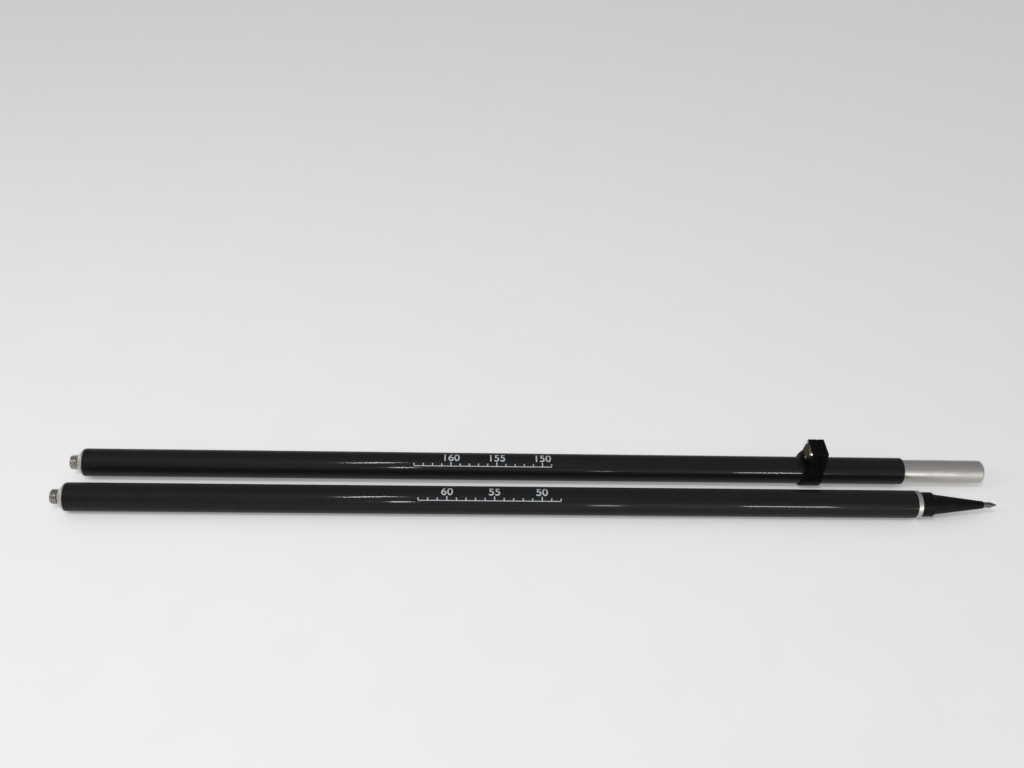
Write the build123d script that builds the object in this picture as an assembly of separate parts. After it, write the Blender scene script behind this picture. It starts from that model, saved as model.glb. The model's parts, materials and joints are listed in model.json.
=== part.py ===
from build123d import *
import math
import os

# A two-piece survey rover pole, taken down, with its sections lying side by side.
# X runs along the sections, from the threaded studs to the ground point. Y points to the upper section
# and Z is up. The origin is the middle of the footprint, on the surface that the sections lie on.
# All sizes are in millimetres.

# Tubes of both sections
TUBE_OD = 30.0
TUBE_WALL = 2.0
TUBE_LENGTH = 900.0
TUBE_EDGE = 0.4
BOND_GAP = 0.1

# End plug with its shoulder, and the stud of 5/8 inch, at the upper end of each section
SHOULDER_HEIGHT = 6.5
SHOULDER_INSET = 0.2
SHOULDER_RIM = 1.5
SEAT_WIDTH = 1.55
PLUG_DEPTH = 45.0
PLUG_LEAD = 1.0
STUD_DIA = 15.875
STUD_EXPOSED = 9.0
STUD_CHAMFER = 1.3
STUD_RELIEF_WIDTH = 0.8
STUD_RELIEF_DEPTH = 1.0
STUD_DEPTH = 22.0
THREAD_GAP = 0.05

# Ground point of the lower section
RING_WIDTH = 5.0
RING_EDGE = 0.4
POINT_SHANK_DIA = 15.875
POINT_SHANK_LENGTH = 24.0
POINT_SHANK_END_GAP = 2.0
COLLAR_DIA = 26.6
COLLAR_LENGTH = 14.0
COLLAR_STEP = 2.2
CONE_LENGTH = 56.2
CONE_END_LIP = 0.9
TIP_DIA = 6.2
TIP_LENGTH = 16.0
TIP_TAPER_LENGTH = 7.5
TIP_BLUNT_DIA = 0.6
TIP_STEP = 0.6
TIP_SHANK_LENGTH = 14.0
TIP_SHANK_END_GAP = 1.0
FACE_GAP = 0.05

# Joint sleeve of the upper section
SLEEVE_EXPOSED = 93.5
SLEEVE_IN_TUBE = 60.0
SLEEVE_END_ROUND = 3.0
SLEEVE_END_FLAT = 0.4
SOCKET_DEPTH = 20.0
SOCKET_COUNTERSINK = 1.0
SOCKET_FLOOR = 14.0
SLEEVE_WALL = 3.9

# How the two sections lie
TUBE_GAP = 22.5
UPPER_SHIFT = 3.4

# Clamp band of the level
LEVEL_FROM_TUBE_END = 105.3
ARM_TILT = 8.4
BAND_WIDTH = 20.8
BAND_WALL = 1.7
BAND_EDGE = 0.5
LINER_WALL = 0.7
LINER_LIP_WIDTH = 1.0
LINER_LIP_HEIGHT = 1.0
LINER_SIDE_GAP = 0.1
LINER_SLIT = 1.5
SLIDE_GAP = 0.05
BLOCK_INSET = 3.2
FLARE_HEIGHT = 9.0
SET_SCREW_ANGLE = 50.0
SET_SCREW_DIA = 5.0
SET_SCREW_LENGTH = 3.9
SET_SCREW_TIP_GAP = 0.15
SET_SCREW_HEX = 2.5
HEX_SIDES = 6
SET_SCREW_HEX_DEPTH = 2.0

# Level housing, its arm and its adjusting screws
ARM_THICKNESS = 6.9
SEAM = 0.9
HOUSING_GAP = 0.7
CORNER_ROUND = 1.2
FACE_EDGE = 0.5
SCREW_COUNT = 3
SCREW_DIA = 2.5
SCREW_CLEARANCE = 0.25
SCREW_HEAD_LIP = 0.4
SCREW_HEAD_HEIGHT = 1.6
SCREW_HEAD_EDGE = 0.3
SCREW_SLOT_WIDTH = 0.7
SCREW_SLOT_DEPTH = 0.8
SCREW_REACH = 5.9
SCREW_END_GAP = 0.5
SCREW_BOTTOM_EDGE = 2.6
SCREW_TOP_EDGE = 2.9
SCREW_SIDE_EDGE = 2.6
SCREW_TO_CUP = 1.2
WASHER_WIDTH = 0.8
WASHER_GAP = 0.3

# Circular vial
CUP_DIA = 15.0
CUP_HEIGHT = 7.6
CUP_PROUD = 0.6
CUP_WALL = 1.1
CUP_FLOOR = 1.2
CUP_EDGE = 0.3
LENS_RECESS = 0.3
LENS_THICKNESS = 1.8
LENS_CROWN_RADIUS = 40.0
SEAL_THICKNESS = 0.6
SEAL_WIDTH = 0.9
BUBBLE_DIA = 4.4
BUBBLE_CUT = 0.6

# Radii that several pieces share
tube_r = TUBE_OD / 2
bore_r = tube_r - TUBE_WALL
spigot_r = bore_r - BOND_GAP
stud_r = STUD_DIA / 2
seat_r = stud_r + SEAT_WIDTH
tip_r = TIP_DIA / 2
liner_bore_r = tube_r + SLIDE_GAP
liner_r = liner_bore_r + LINER_WALL
band_bore_r = liner_r + SLIDE_GAP
band_r = band_bore_r + BAND_WALL
screw_r = SCREW_DIA / 2
screw_hole_r = screw_r + SCREW_CLEARANCE
screw_head_r = screw_hole_r + SCREW_HEAD_LIP
cup_r = CUP_DIA / 2
cup_bore_r = cup_r - CUP_WALL
lens_r = cup_bore_r - BOND_GAP

# Stations along a section, counted from the seat of its stud
tube_start = SHOULDER_HEIGHT
tube_end = tube_start + TUBE_LENGTH
ring_end = tube_end + RING_WIDTH
point_start = ring_end + FACE_GAP
collar_end = point_start + COLLAR_LENGTH
cone_start = collar_end + COLLAR_STEP
cone_end = cone_start + CONE_LENGTH
tip_start = cone_end + FACE_GAP
tip_end = tip_start + TIP_LENGTH
sleeve_end = tube_end + SLEEVE_EXPOSED

# Places of the two sections and of the level in the whole part
axis_spacing = TUBE_OD + TUBE_GAP
part_low_x = -STUD_EXPOSED + min(0.0, UPPER_SHIFT)
part_high_x = max(tip_end, sleeve_end + UPPER_SHIFT)
lower_x = -(part_low_x + part_high_x) / 2
lower_y = -(axis_spacing + band_r - tube_r) / 2
upper_x = lower_x + UPPER_SHIFT
upper_y = lower_y + axis_spacing
level_x = upper_x + tube_end - LEVEL_FROM_TUBE_END
lower_place = Pos(lower_x, lower_y, tube_r)
upper_place = Pos(upper_x, upper_y, band_r)
level_place = Pos(level_x, upper_y, band_r) * Rot(ARM_TILT, 0, 0)

# The level's own frame: X along the tube from the band's middle, Y across the arm, Z up the arm
screw_circle_r = cup_r + SCREW_TO_CUP + screw_hole_r
vial_z = band_r + HOUSING_GAP + SCREW_BOTTOM_EDGE + screw_circle_r
screw_step = 360.0 / SCREW_COUNT
screw_places = []
for number in range(SCREW_COUNT):
    turn = math.radians(180.0 + number * screw_step)
    screw_places.append((screw_circle_r * math.sin(turn), vial_z + screw_circle_r * math.cos(turn)))
arm_top = max(z for y, z in screw_places) + SCREW_TOP_EDGE
arm_half = max(y for y, z in screw_places) + SCREW_SIDE_EDGE
housing_bottom = band_r + HOUSING_GAP
arm_back = BAND_WIDTH / 2
arm_front = arm_back - ARM_THICKNESS
housing_back = arm_front - SEAM
housing_front = -BAND_WIDTH / 2 + BLOCK_INSET
cup_rim = housing_front - CUP_PROUD
cup_back = cup_rim + CUP_HEIGHT
lens_front = cup_rim + LENS_RECESS
lens_back = lens_front + LENS_THICKNESS
seal_back = lens_back + SEAL_THICKNESS
screw_end = arm_front + SCREW_REACH

# The flanks of the arm run from its top corners and touch the band
flank_slope = math.atan2(arm_top, arm_half) - math.acos(band_r / math.hypot(arm_half, arm_top))


def flank_half(z):
    """Half the arm's width at height z above the tube's axis."""
    return arm_half + (arm_top - z) * math.tan(flank_slope)


def turned(points):
    """A solid of revolution about X, from (x, radius) corners."""
    return revolve(make_face(Polyline(*points, close=True)), axis=Axis.X)


def rod(start, end, radius):
    """A plain round rod along X."""
    return turned([(start, 0), (start, radius), (end, radius), (end, 0)])


def arm_block(front, back, low, high):
    """A slice of the tapered arm, between two planes across the tube and two heights."""
    outline = Polyline(
        (-flank_half(low), low), (flank_half(low), low), (flank_half(high), high), (-flank_half(high), high),
        close=True,
    )
    return extrude(Plane.YZ.offset(front) * make_face(outline), back - front)


def make_tube():
    return turned([
        (tube_start, bore_r),
        (tube_start, tube_r - TUBE_EDGE),
        (tube_start + TUBE_EDGE, tube_r),
        (tube_end - TUBE_EDGE, tube_r),
        (tube_end, tube_r - TUBE_EDGE),
        (tube_end, bore_r),
    ])


def make_end_plug():
    plug_end = tube_start + PLUG_DEPTH
    hole_r = stud_r + THREAD_GAP
    return turned([
        (0, hole_r),
        (0, seat_r),
        (SHOULDER_HEIGHT - SHOULDER_RIM, tube_r - SHOULDER_INSET),
        (SHOULDER_HEIGHT, tube_r - SHOULDER_INSET),
        (SHOULDER_HEIGHT, spigot_r),
        (plug_end - PLUG_LEAD, spigot_r),
        (plug_end, spigot_r - PLUG_LEAD),
        (plug_end, 0),
        (STUD_DEPTH, 0),
        (STUD_DEPTH, hole_r),
    ])


def make_stud():
    return turned([
        (-STUD_EXPOSED, 0),
        (-STUD_EXPOSED, stud_r - STUD_CHAMFER),
        (-STUD_EXPOSED + STUD_CHAMFER, stud_r),
        (-STUD_RELIEF_WIDTH, stud_r),
        (-STUD_RELIEF_WIDTH, stud_r - STUD_RELIEF_DEPTH),
        (0, stud_r - STUD_RELIEF_DEPTH),
        (0, stud_r),
        (STUD_DEPTH, stud_r),
        (STUD_DEPTH, 0),
    ])


def make_foot_plug():
    plug_start = tube_end - PLUG_DEPTH
    hole_r = POINT_SHANK_DIA / 2 + THREAD_GAP
    hole_end = point_start - POINT_SHANK_LENGTH - POINT_SHANK_END_GAP
    return turned([
        (plug_start, 0),
        (plug_start, spigot_r - PLUG_LEAD),
        (plug_start + PLUG_LEAD, spigot_r),
        (tube_end, spigot_r),
        (tube_end, tube_r - RING_EDGE),
        (tube_end + RING_EDGE, tube_r),
        (ring_end - RING_EDGE, tube_r),
        (ring_end, tube_r - RING_EDGE),
        (ring_end, hole_r),
        (hole_end, hole_r),
        (hole_end, 0),
    ])


def make_point_body():
    shank_start = point_start - POINT_SHANK_LENGTH
    hole_r = tip_r - TIP_STEP + THREAD_GAP
    hole_start = tip_start - TIP_SHANK_LENGTH - TIP_SHANK_END_GAP
    return turned([
        (shank_start, 0),
        (shank_start, POINT_SHANK_DIA / 2),
        (point_start, POINT_SHANK_DIA / 2),
        (point_start, COLLAR_DIA / 2),
        (collar_end, COLLAR_DIA / 2),
        (cone_start, COLLAR_DIA / 2 - COLLAR_STEP),
        (cone_end, tip_r + CONE_END_LIP),
        (cone_end, hole_r),
        (hole_start, hole_r),
        (hole_start, 0),
    ])


def make_point_tip():
    shank_start = tip_start - TIP_SHANK_LENGTH
    return turned([
        (shank_start, 0),
        (shank_start, tip_r - TIP_STEP),
        (tip_start, tip_r - TIP_STEP),
        (tip_start, tip_r),
        (tip_end - TIP_TAPER_LENGTH, tip_r),
        (tip_end, TIP_BLUNT_DIA / 2),
        (tip_end, 0),
    ])


def make_joint_sleeve():
    sleeve_start = tube_end - SLEEVE_IN_TUBE
    socket_r = stud_r + THREAD_GAP
    socket_end = sleeve_end - SOCKET_DEPTH
    hollow_r = spigot_r - SLEEVE_WALL
    mouth_r = socket_r + SOCKET_COUNTERSINK
    end_round = min(SLEEVE_END_ROUND, spigot_r - mouth_r - SLEEVE_END_FLAT)
    body = turned([
        (sleeve_start, hollow_r),
        (sleeve_start, spigot_r),
        (sleeve_end, spigot_r),
        (sleeve_end, mouth_r),
        (sleeve_end - SOCKET_COUNTERSINK, socket_r),
        (socket_end, socket_r),
        (socket_end, 0),
        (socket_end - SOCKET_FLOOR, 0),
        (socket_end - SOCKET_FLOOR, hollow_r),
    ])
    end_edges = body.edges().filter_by(GeomType.CIRCLE).group_by(Axis.X)[-1]
    return fillet(end_edges.sort_by(SortBy.RADIUS)[-1], end_round)


def make_clamp_liner():
    half = BAND_WIDTH / 2 + LINER_SIDE_GAP
    lip_r = liner_r + LINER_LIP_HEIGHT
    ring = turned([
        (-half - LINER_LIP_WIDTH, liner_bore_r),
        (-half - LINER_LIP_WIDTH, lip_r),
        (-half, lip_r),
        (-half, liner_r),
        (half, liner_r),
        (half, lip_r),
        (half + LINER_LIP_WIDTH, lip_r),
        (half + LINER_LIP_WIDTH, liner_bore_r),
    ])
    length = 2 * (half + LINER_LIP_WIDTH)
    slit = Pos(0, 0, -lip_r) * Box(length, LINER_SLIT, 2 * lip_r)
    return ring - slit


def along_set_screw():
    """The set screw's own frame: its X runs outwards from the tube's axis."""
    return Rot(SET_SCREW_ANGLE, 0, 0).inverse() * Rot(0, -90, 0)


def make_clamp_bracket():
    half = BAND_WIDTH / 2
    band = turned([
        (-half, 0),
        (-half, band_r - BAND_EDGE),
        (-half + BAND_EDGE, band_r),
        (half - BAND_EDGE, band_r),
        (half, band_r - BAND_EDGE),
        (half, 0),
    ])
    flank_foot = band_r * math.sin(flank_slope)
    saddle = arm_block(-half, half, flank_foot, band_r)
    front_edge = saddle.faces().sort_by(Axis.Z)[-1].edges().sort_by(Axis.X)[0]
    front_face = saddle.faces().sort_by(Axis.X)[0]
    saddle = chamfer(front_edge, FLARE_HEIGHT, BLOCK_INSET, reference=front_face)
    arm = arm_block(arm_front, arm_back, flank_foot, arm_top)
    corners = arm.edges().filter_by(Axis.X).group_by(Axis.Z)[-1]
    arm = fillet(corners, CORNER_ROUND)
    body = band + saddle + arm
    body -= rod(-BAND_WIDTH, BAND_WIDTH, band_bore_r)
    body -= along_set_screw() * rod(0, arm_top, SET_SCREW_DIA / 2 + THREAD_GAP)
    for y, z in screw_places:
        body -= Pos(0, y, z) * rod(arm_front - SEAM, screw_end + SCREW_END_GAP, screw_hole_r)
    return body


def make_clamp_screw():
    start = liner_r + SET_SCREW_TIP_GAP
    screw = rod(start, start + SET_SCREW_LENGTH, SET_SCREW_DIA / 2)
    key = RegularPolygon(SET_SCREW_HEX / 2, HEX_SIDES, major_radius=False)
    socket = extrude(Plane.YZ.offset(start + SET_SCREW_LENGTH) * key, -SET_SCREW_HEX_DEPTH)
    return along_set_screw() * (screw - socket)


def make_level_housing():
    block = arm_block(housing_front, housing_back, housing_bottom, arm_top)
    block = fillet(block.edges().filter_by(Axis.X), CORNER_ROUND)
    block = chamfer(block.faces().sort_by(Axis.X)[0].edges(), FACE_EDGE)
    block -= Pos(0, 0, vial_z) * rod(cup_rim, cup_back, cup_r + BOND_GAP)
    for y, z in screw_places:
        block -= Pos(0, y, z) * rod(housing_front - SEAM, housing_back + SEAM, screw_hole_r)
    return block


def make_level_washer(y, z):
    washer = turned([
        (arm_front, screw_hole_r),
        (arm_front, screw_hole_r + WASHER_WIDTH),
        (housing_back + WASHER_GAP, screw_hole_r + WASHER_WIDTH),
        (housing_back + WASHER_GAP, screw_hole_r),
    ])
    return Pos(0, y, z) * washer


def make_adjusting_screw(y, z):
    seat = housing_front - FACE_GAP
    top = seat - SCREW_HEAD_HEIGHT
    screw = turned([
        (top, 0),
        (top, screw_head_r - SCREW_HEAD_EDGE),
        (top + SCREW_HEAD_EDGE, screw_head_r),
        (seat, screw_head_r),
        (seat, screw_r),
        (screw_end, screw_r),
        (screw_end, 0),
    ])
    slot = Pos(top, 0, 0) * Box(2 * SCREW_SLOT_DEPTH, SCREW_SLOT_WIDTH, 2 * screw_head_r)
    return Pos(0, y, z) * (screw - slot)


def make_vial_cup():
    return turned([
        (cup_rim, cup_bore_r),
        (cup_rim, cup_r - CUP_EDGE),
        (cup_rim + CUP_EDGE, cup_r),
        (cup_back, cup_r),
        (cup_back, 0),
        (cup_back - CUP_FLOOR, 0),
        (cup_back - CUP_FLOOR, cup_bore_r),
    ])


def crown(radius):
    """Depth of the window's hollow under its rim, over a circle of this radius."""
    return LENS_CROWN_RADIUS - math.sqrt(LENS_CROWN_RADIUS**2 - radius**2)


def make_vial_lens():
    hollow_r = lens_r - SEAL_WIDTH
    hollow = crown(hollow_r)
    disc = rod(lens_front, lens_back, lens_r)
    ball = Pos(lens_back - hollow + LENS_CROWN_RADIUS, 0, 0) * Sphere(LENS_CROWN_RADIUS)
    return disc - (ball & rod(lens_front, lens_back, hollow_r))


def make_vial_seal():
    return turned([
        (lens_back, lens_r - SEAL_WIDTH),
        (lens_back, lens_r),
        (seal_back, lens_r),
        (seal_back, lens_r - SEAL_WIDTH),
    ])


def make_vial_fluid():
    neck_r = lens_r - SEAL_WIDTH - BOND_GAP
    floor = cup_back - CUP_FLOOR
    pool = rod(seal_back, floor, lens_r) + rod(lens_back, floor, neck_r)
    bubble_x = (seal_back + floor) / 2
    bubble_z = lens_r - BUBBLE_DIA / 2 + BUBBLE_CUT
    return pool - Pos(bubble_x, 0, bubble_z) * Sphere(BUBBLE_DIA / 2)


def on_vial_axis(piece):
    """Move a piece of the vial from the tube's axis to the vial's axis."""
    return Pos(0, 0, vial_z) * piece


bottom_screw, near_screw, far_screw = screw_places
pieces = {
    "lower_tube": lower_place * make_tube(),
    "lower_end_plug": lower_place * make_end_plug(),
    "lower_stud": lower_place * make_stud(),
    "foot_plug": lower_place * make_foot_plug(),
    "point_body": lower_place * make_point_body(),
    "point_tip": lower_place * make_point_tip(),
    "upper_tube": upper_place * make_tube(),
    "upper_end_plug": upper_place * make_end_plug(),
    "upper_stud": upper_place * make_stud(),
    "joint_sleeve": upper_place * make_joint_sleeve(),
    "clamp_liner": level_place * make_clamp_liner(),
    "clamp_bracket": level_place * make_clamp_bracket(),
    "clamp_screw": level_place * make_clamp_screw(),
    "level_housing": level_place * make_level_housing(),
    "level_washers": level_place * Compound(children=[make_level_washer(y, z) for y, z in screw_places]),
    "adjusting_screw_bottom": level_place * make_adjusting_screw(*bottom_screw),
    "adjusting_screw_top_near": level_place * make_adjusting_screw(*near_screw),
    "adjusting_screw_top_far": level_place * make_adjusting_screw(*far_screw),
    "vial_cup": level_place * on_vial_axis(make_vial_cup()),
    "vial_seal": level_place * on_vial_axis(make_vial_seal()),
    "vial_fluid": level_place * on_vial_axis(make_vial_fluid()),
    "vial_lens": level_place * on_vial_axis(make_vial_lens()),
}

os.makedirs("parts", exist_ok=True)
for name, piece in pieces.items():
    export_step(piece, f"parts/{name}.step")

print("working height of the joined pole:", round(tip_end + sleeve_end, 2), "mm")
print("vial axis", round(vial_z, 2), "and arm top", round(arm_top, 2), "mm above the tube's axis")
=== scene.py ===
# %% [markdown]
# # A survey rover pole, taken down
#
# A rover pole holds a satellite receiver at a known height over a mark on the ground. This one comes apart
# into two carbon tubes of about a metre. The lower section ends in a cone with a steel tip, and the upper
# section carries a small circular level that shows when the pole stands upright. The two sections lie side
# by side on a pale floor.
#
# The solids of the part come in as a fixed frame. They are exact but plain and coarsely meshed, so every
# piece is worked out again here as a smooth surface over the same sizes, and its finish is made from
# nodes.

# %% Load the solids
import json
import math
import bmesh
import bpy
import numpy as np
from mathutils import Matrix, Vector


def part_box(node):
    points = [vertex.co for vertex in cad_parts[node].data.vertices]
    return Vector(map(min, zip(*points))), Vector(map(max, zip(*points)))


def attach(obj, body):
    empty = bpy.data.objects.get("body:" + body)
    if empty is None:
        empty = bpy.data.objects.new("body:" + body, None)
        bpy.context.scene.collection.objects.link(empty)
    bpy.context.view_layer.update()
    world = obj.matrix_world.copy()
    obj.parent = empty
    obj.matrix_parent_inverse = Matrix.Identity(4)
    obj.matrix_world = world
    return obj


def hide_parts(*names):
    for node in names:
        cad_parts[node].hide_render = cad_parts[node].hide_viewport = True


MM = 0.001
TURN = 2 * math.pi
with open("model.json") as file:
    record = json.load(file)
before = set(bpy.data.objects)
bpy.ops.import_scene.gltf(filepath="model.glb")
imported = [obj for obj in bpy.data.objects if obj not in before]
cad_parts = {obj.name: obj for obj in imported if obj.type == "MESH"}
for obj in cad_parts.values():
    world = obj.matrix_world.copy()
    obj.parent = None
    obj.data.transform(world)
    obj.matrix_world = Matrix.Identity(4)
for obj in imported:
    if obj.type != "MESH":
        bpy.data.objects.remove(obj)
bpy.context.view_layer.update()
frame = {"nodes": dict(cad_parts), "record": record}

# %% [markdown]
# ## Where the sections lie
#
# All shapes below are written in millimetres, in a frame whose X axis runs along a tube. Three small
# functions then put a shape on the lower tube, on the upper tube, or in the leaning frame of the level.
# The places could be typed in again, but reading them from the solids keeps both models together.

# %% Frames of the two sections
mounts = {mount["name"]: mount for mount in frame["record"]["mounts"]}


def axis_through(mount):
    """The line along X through a mount, as (0, y, z) in millimetres."""
    return np.array(mounts[mount]["pos_m"]) * (0, 1, 1) / MM


def span(node):
    """Where a solid starts and ends along X, in millimetres."""
    low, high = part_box(node)
    return low.x / MM, high.x / MM


LOWER_AXIS = axis_through("section_stud")
UPPER_AXIS = axis_through("receiver_stud")


def on_lower(points):
    """Millimetres about the lower tube's axis become metres in the part's frame: add the axis, then scale."""
    return (points + LOWER_AXIS) * MM


def on_upper(points):
    """Millimetres about the upper tube's axis become metres in the part's frame: add the axis, then scale."""
    return (points + UPPER_AXIS) * MM


SECTIONS = {"lower": on_lower, "upper": on_upper}
print("axes at", LOWER_AXIS, "and", UPPER_AXIS)

# %% Frame of the level
ARM_LEAN = math.radians(8.4)
LEVEL_X = sum(span("clamp_bracket")) / 2


def rotated(y, z, angle):
    """A turn about X: y' = y cos - z sin and z' = y sin + z cos."""
    cos, sin = math.cos(angle), math.sin(angle)
    return y * cos - z * sin, y * sin + z * cos


def on_level(points):
    """The level's frame leans about X, and then it moves to its place on the upper tube."""
    x, y, z = np.moveaxis(points, -1, 0)
    return on_upper(np.stack([x + LEVEL_X, *rotated(y, z, ARM_LEAN)], -1))


def point_places(mesh):
    """All points of a mesh as one array of x, y and z."""
    flat = np.empty(len(mesh.vertices) * 3)
    mesh.vertices.foreach_get("co", flat)
    return flat.reshape(-1, 3)


def level_box(node):
    """Lowest and highest corner of a solid in the level's own frame, in millimetres: the lean undone."""
    x, y, z = (point_places(frame["nodes"][node].data) / MM - UPPER_AXIS).T
    own = np.stack([x - LEVEL_X, *rotated(y, z, -ARM_LEAN)])
    return own.min(1), own.max(1)


print("the level at x", round(LEVEL_X, 1))

# %% [markdown]
# ## The camera
#
# The camera stands where the photograph was taken from. Its place and turns were fitted to the ends of the
# two tubes, and its lens follows from a focal length of 952 pixels in a picture 1024 pixels wide. A camera
# in Blender looks down its own -Z axis, so it is first tipped up to the horizon, less the downward pitch.

# %% Camera
CAMERA_PLACE = (-0.0851, -0.7816, 0.7002)
CAMERA_YAW = -0.0665
CAMERA_PITCH = 0.6144
CAMERA_ROLL = 0.0540
FOCAL_PIXELS = 952.2
PICTURE_WIDTH = 1024
SENSOR_WIDTH = 36.0
scene = bpy.context.scene


def in_scene(name, data):
    """An object that shows some data, linked into the scene."""
    made = bpy.data.objects.new(name, data)
    scene.collection.objects.link(made)
    return made


camera = in_scene("camera", bpy.data.cameras.new("camera"))
camera.data.sensor_width = SENSOR_WIDTH
camera.data.lens = SENSOR_WIDTH * FOCAL_PIXELS / PICTURE_WIDTH
camera.matrix_world = (
    Matrix.Translation(CAMERA_PLACE)
    @ Matrix.Rotation(CAMERA_YAW, 4, "Z")
    @ Matrix.Rotation(math.pi / 2 - CAMERA_PITCH, 4, "X")
    @ Matrix.Rotation(CAMERA_ROLL, 4, "Z")
)
scene.camera = camera
scene.view_settings.view_transform = "Standard"
print("lens of", round(camera.data.lens, 2), "mm")

# %% [markdown]
# ## From a grid to a mesh
#
# Nearly every piece is a grid of points, with rows along a profile and columns round an axis. One function
# turns such grids into a mesh: it numbers the four corners of each face, closes rings, and carries along a
# map of the surface and a mark on the edges, which the finishes use for weave, turning lines and wear.
# Blender's own primitives would be quicker to call, but a grid puts points exactly where an edge needs
# them.

# %% Grids


def patch(points, uv=None, edge=0.0, ring_rows=False, ring_columns=True):
    """One grid of points with its map, its edge marks, and whether its rows or columns close into a ring."""
    rows, columns = points.shape[:2]
    if uv is None:
        uv = np.stack(np.meshgrid(np.arange(rows + 1.0), np.arange(columns + 1.0), indexing="ij"), -1)
    if np.ndim(edge) < 2:
        edge = np.reshape(edge, (-1, 1))
    marks = np.broadcast_to(edge, (rows, columns))
    return {"points": points, "uv": uv, "edge": marks, "rings": (ring_rows, ring_columns)}


def corner_numbers(rows, columns, ring_rows, ring_columns):
    """Row and column of the four corners of each face, counted on past the end where a ring closes."""
    row, column = np.meshgrid(
        np.arange(rows - 1 + ring_rows), np.arange(columns - 1 + ring_columns), indexing="ij"
    )
    row = np.stack([row, row, row + 1, row + 1], -1).reshape(-1, 4)
    column = np.stack([column, column + 1, column + 1, column], -1).reshape(-1, 4)
    return row, column


print("three rows round a ring of eight columns make", len(corner_numbers(3, 8, False, True)[0]), "faces")

# %% Meshes
MERGE_DISTANCE = 1e-6
SHARP_ANGLE = math.radians(32)


def mesh_of(name, patches):
    """Joins grids into one mesh, welds their seams and poles, and turns all faces outwards."""
    points, faces, corner_maps, edges = [], [], [], []
    start = 0
    for grid in patches:
        rows, columns = grid["points"].shape[:2]
        row, column = corner_numbers(rows, columns, *grid["rings"])
        points.append(grid["points"].reshape(-1, 3))
        faces.append(start + (row % rows) * columns + column % columns)
        corner_maps.append(grid["uv"][row, column].reshape(-1, 2))
        edges.append(grid["edge"].ravel())
        start += rows * columns
    mesh = bpy.data.meshes.new(name)
    mesh.from_pydata(np.concatenate(points).tolist(), [], np.concatenate(faces).tolist())
    mesh.uv_layers.new(name="UVMap").data.foreach_set("uv", np.concatenate(corner_maps).ravel())
    mesh.attributes.new("edge", "FLOAT", "POINT").data.foreach_set("value", np.concatenate(edges))
    weld(mesh)
    return mesh


def weld(mesh):
    """Merges points that coincide, drops faces with no area, turns the faces outwards and smooths them."""
    shape = bmesh.new()
    shape.from_mesh(mesh)
    bmesh.ops.remove_doubles(shape, verts=shape.verts, dist=MERGE_DISTANCE)
    bmesh.ops.dissolve_degenerate(shape, edges=shape.edges, dist=MERGE_DISTANCE)
    bmesh.ops.recalc_face_normals(shape, faces=shape.faces)
    open_edges = sum(not edge.is_manifold for edge in shape.edges)
    shape.to_mesh(mesh)
    shape.free()
    mesh.shade_smooth()
    mesh.set_sharp_from_angle(angle=SHARP_ANGLE)
    print(mesh.name, "has", len(mesh.polygons), "faces and", open_edges, "open edges")


# %% Pieces


def show(name, mesh, finish, body, slot, *stands_for):
    """Makes a mesh a piece of the object: it rides on a body, has a finish and stands for some solids."""
    piece = in_scene(name, mesh)
    mesh.materials.append(finish)
    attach(piece, body)
    if stands_for:
        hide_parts(*stands_for)
    return piece


def build(name, grids, finish, body, slot, *stands_for):
    """Joins grids into a mesh and shows it as a piece of the object."""
    return show(name, mesh_of(name, grids), finish, body, slot, *stands_for)


# %% [markdown]
# ## Profiles that are turned on a lathe
#
# Plugs, ring, cone, tip and sleeve are all turned parts: one profile, carried round an axis. No machined
# edge is truly sharp, and it is the small round on an edge that catches the light, so each corner of a
# profile can have its own rounding. Two extra points beside each corner keep the shading of the flats
# flat.

# %% Rounded corners
ARC_POINTS = 6


def unit(vector):
    """The same direction with a length of one."""
    return vector / np.linalg.norm(vector)


def rounded_corner(before, here, after, rounding):
    """Points of the arc that touches both sides of a corner, and 1 or 0 for a corner that stands out or not.

    Half the angle between the sides gives the distance to the points of touch, rounding / tan(half), and to
    the centre, rounding / sin(half). The arc turns from one radius to the other by spherical interpolation.
    """
    back, ahead = unit(before - here), unit(after - here)
    half = math.acos(np.clip(back @ ahead, -1, 1)) / 2
    centre = here + unit(back + ahead) * rounding / math.sin(half)
    touch = rounding / math.tan(half)
    sweep = math.pi - 2 * half
    share = np.linspace(0, 1, ARC_POINTS)[:, None]
    first, last = here + back * touch - centre, here + ahead * touch - centre
    arc = centre + (np.sin((1 - share) * sweep) * first + np.sin(share * sweep) * last) / math.sin(sweep)
    stands_out = float(back[0] * ahead[1] - back[1] * ahead[0] > 0)
    return arc, np.full(ARC_POINTS, stands_out)


print("a rounded corner has", ARC_POINTS, "points")

# %% Profiles
CORNER_SUPPORT = 0.15
LONGEST_STEP = 12.0


def straight(start, end):
    """Inner points of a straight stretch: one beside each end, the rest evenly between."""
    length = np.linalg.norm(end - start)
    if length < 4 * CORNER_SUPPORT:
        return np.empty((0, 2))
    steps = max(2, math.ceil(length / LONGEST_STEP) + 1)
    share = np.linspace(CORNER_SUPPORT, length - CORNER_SUPPORT, steps)[:, None] / length
    return start + (end - start) * share


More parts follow.
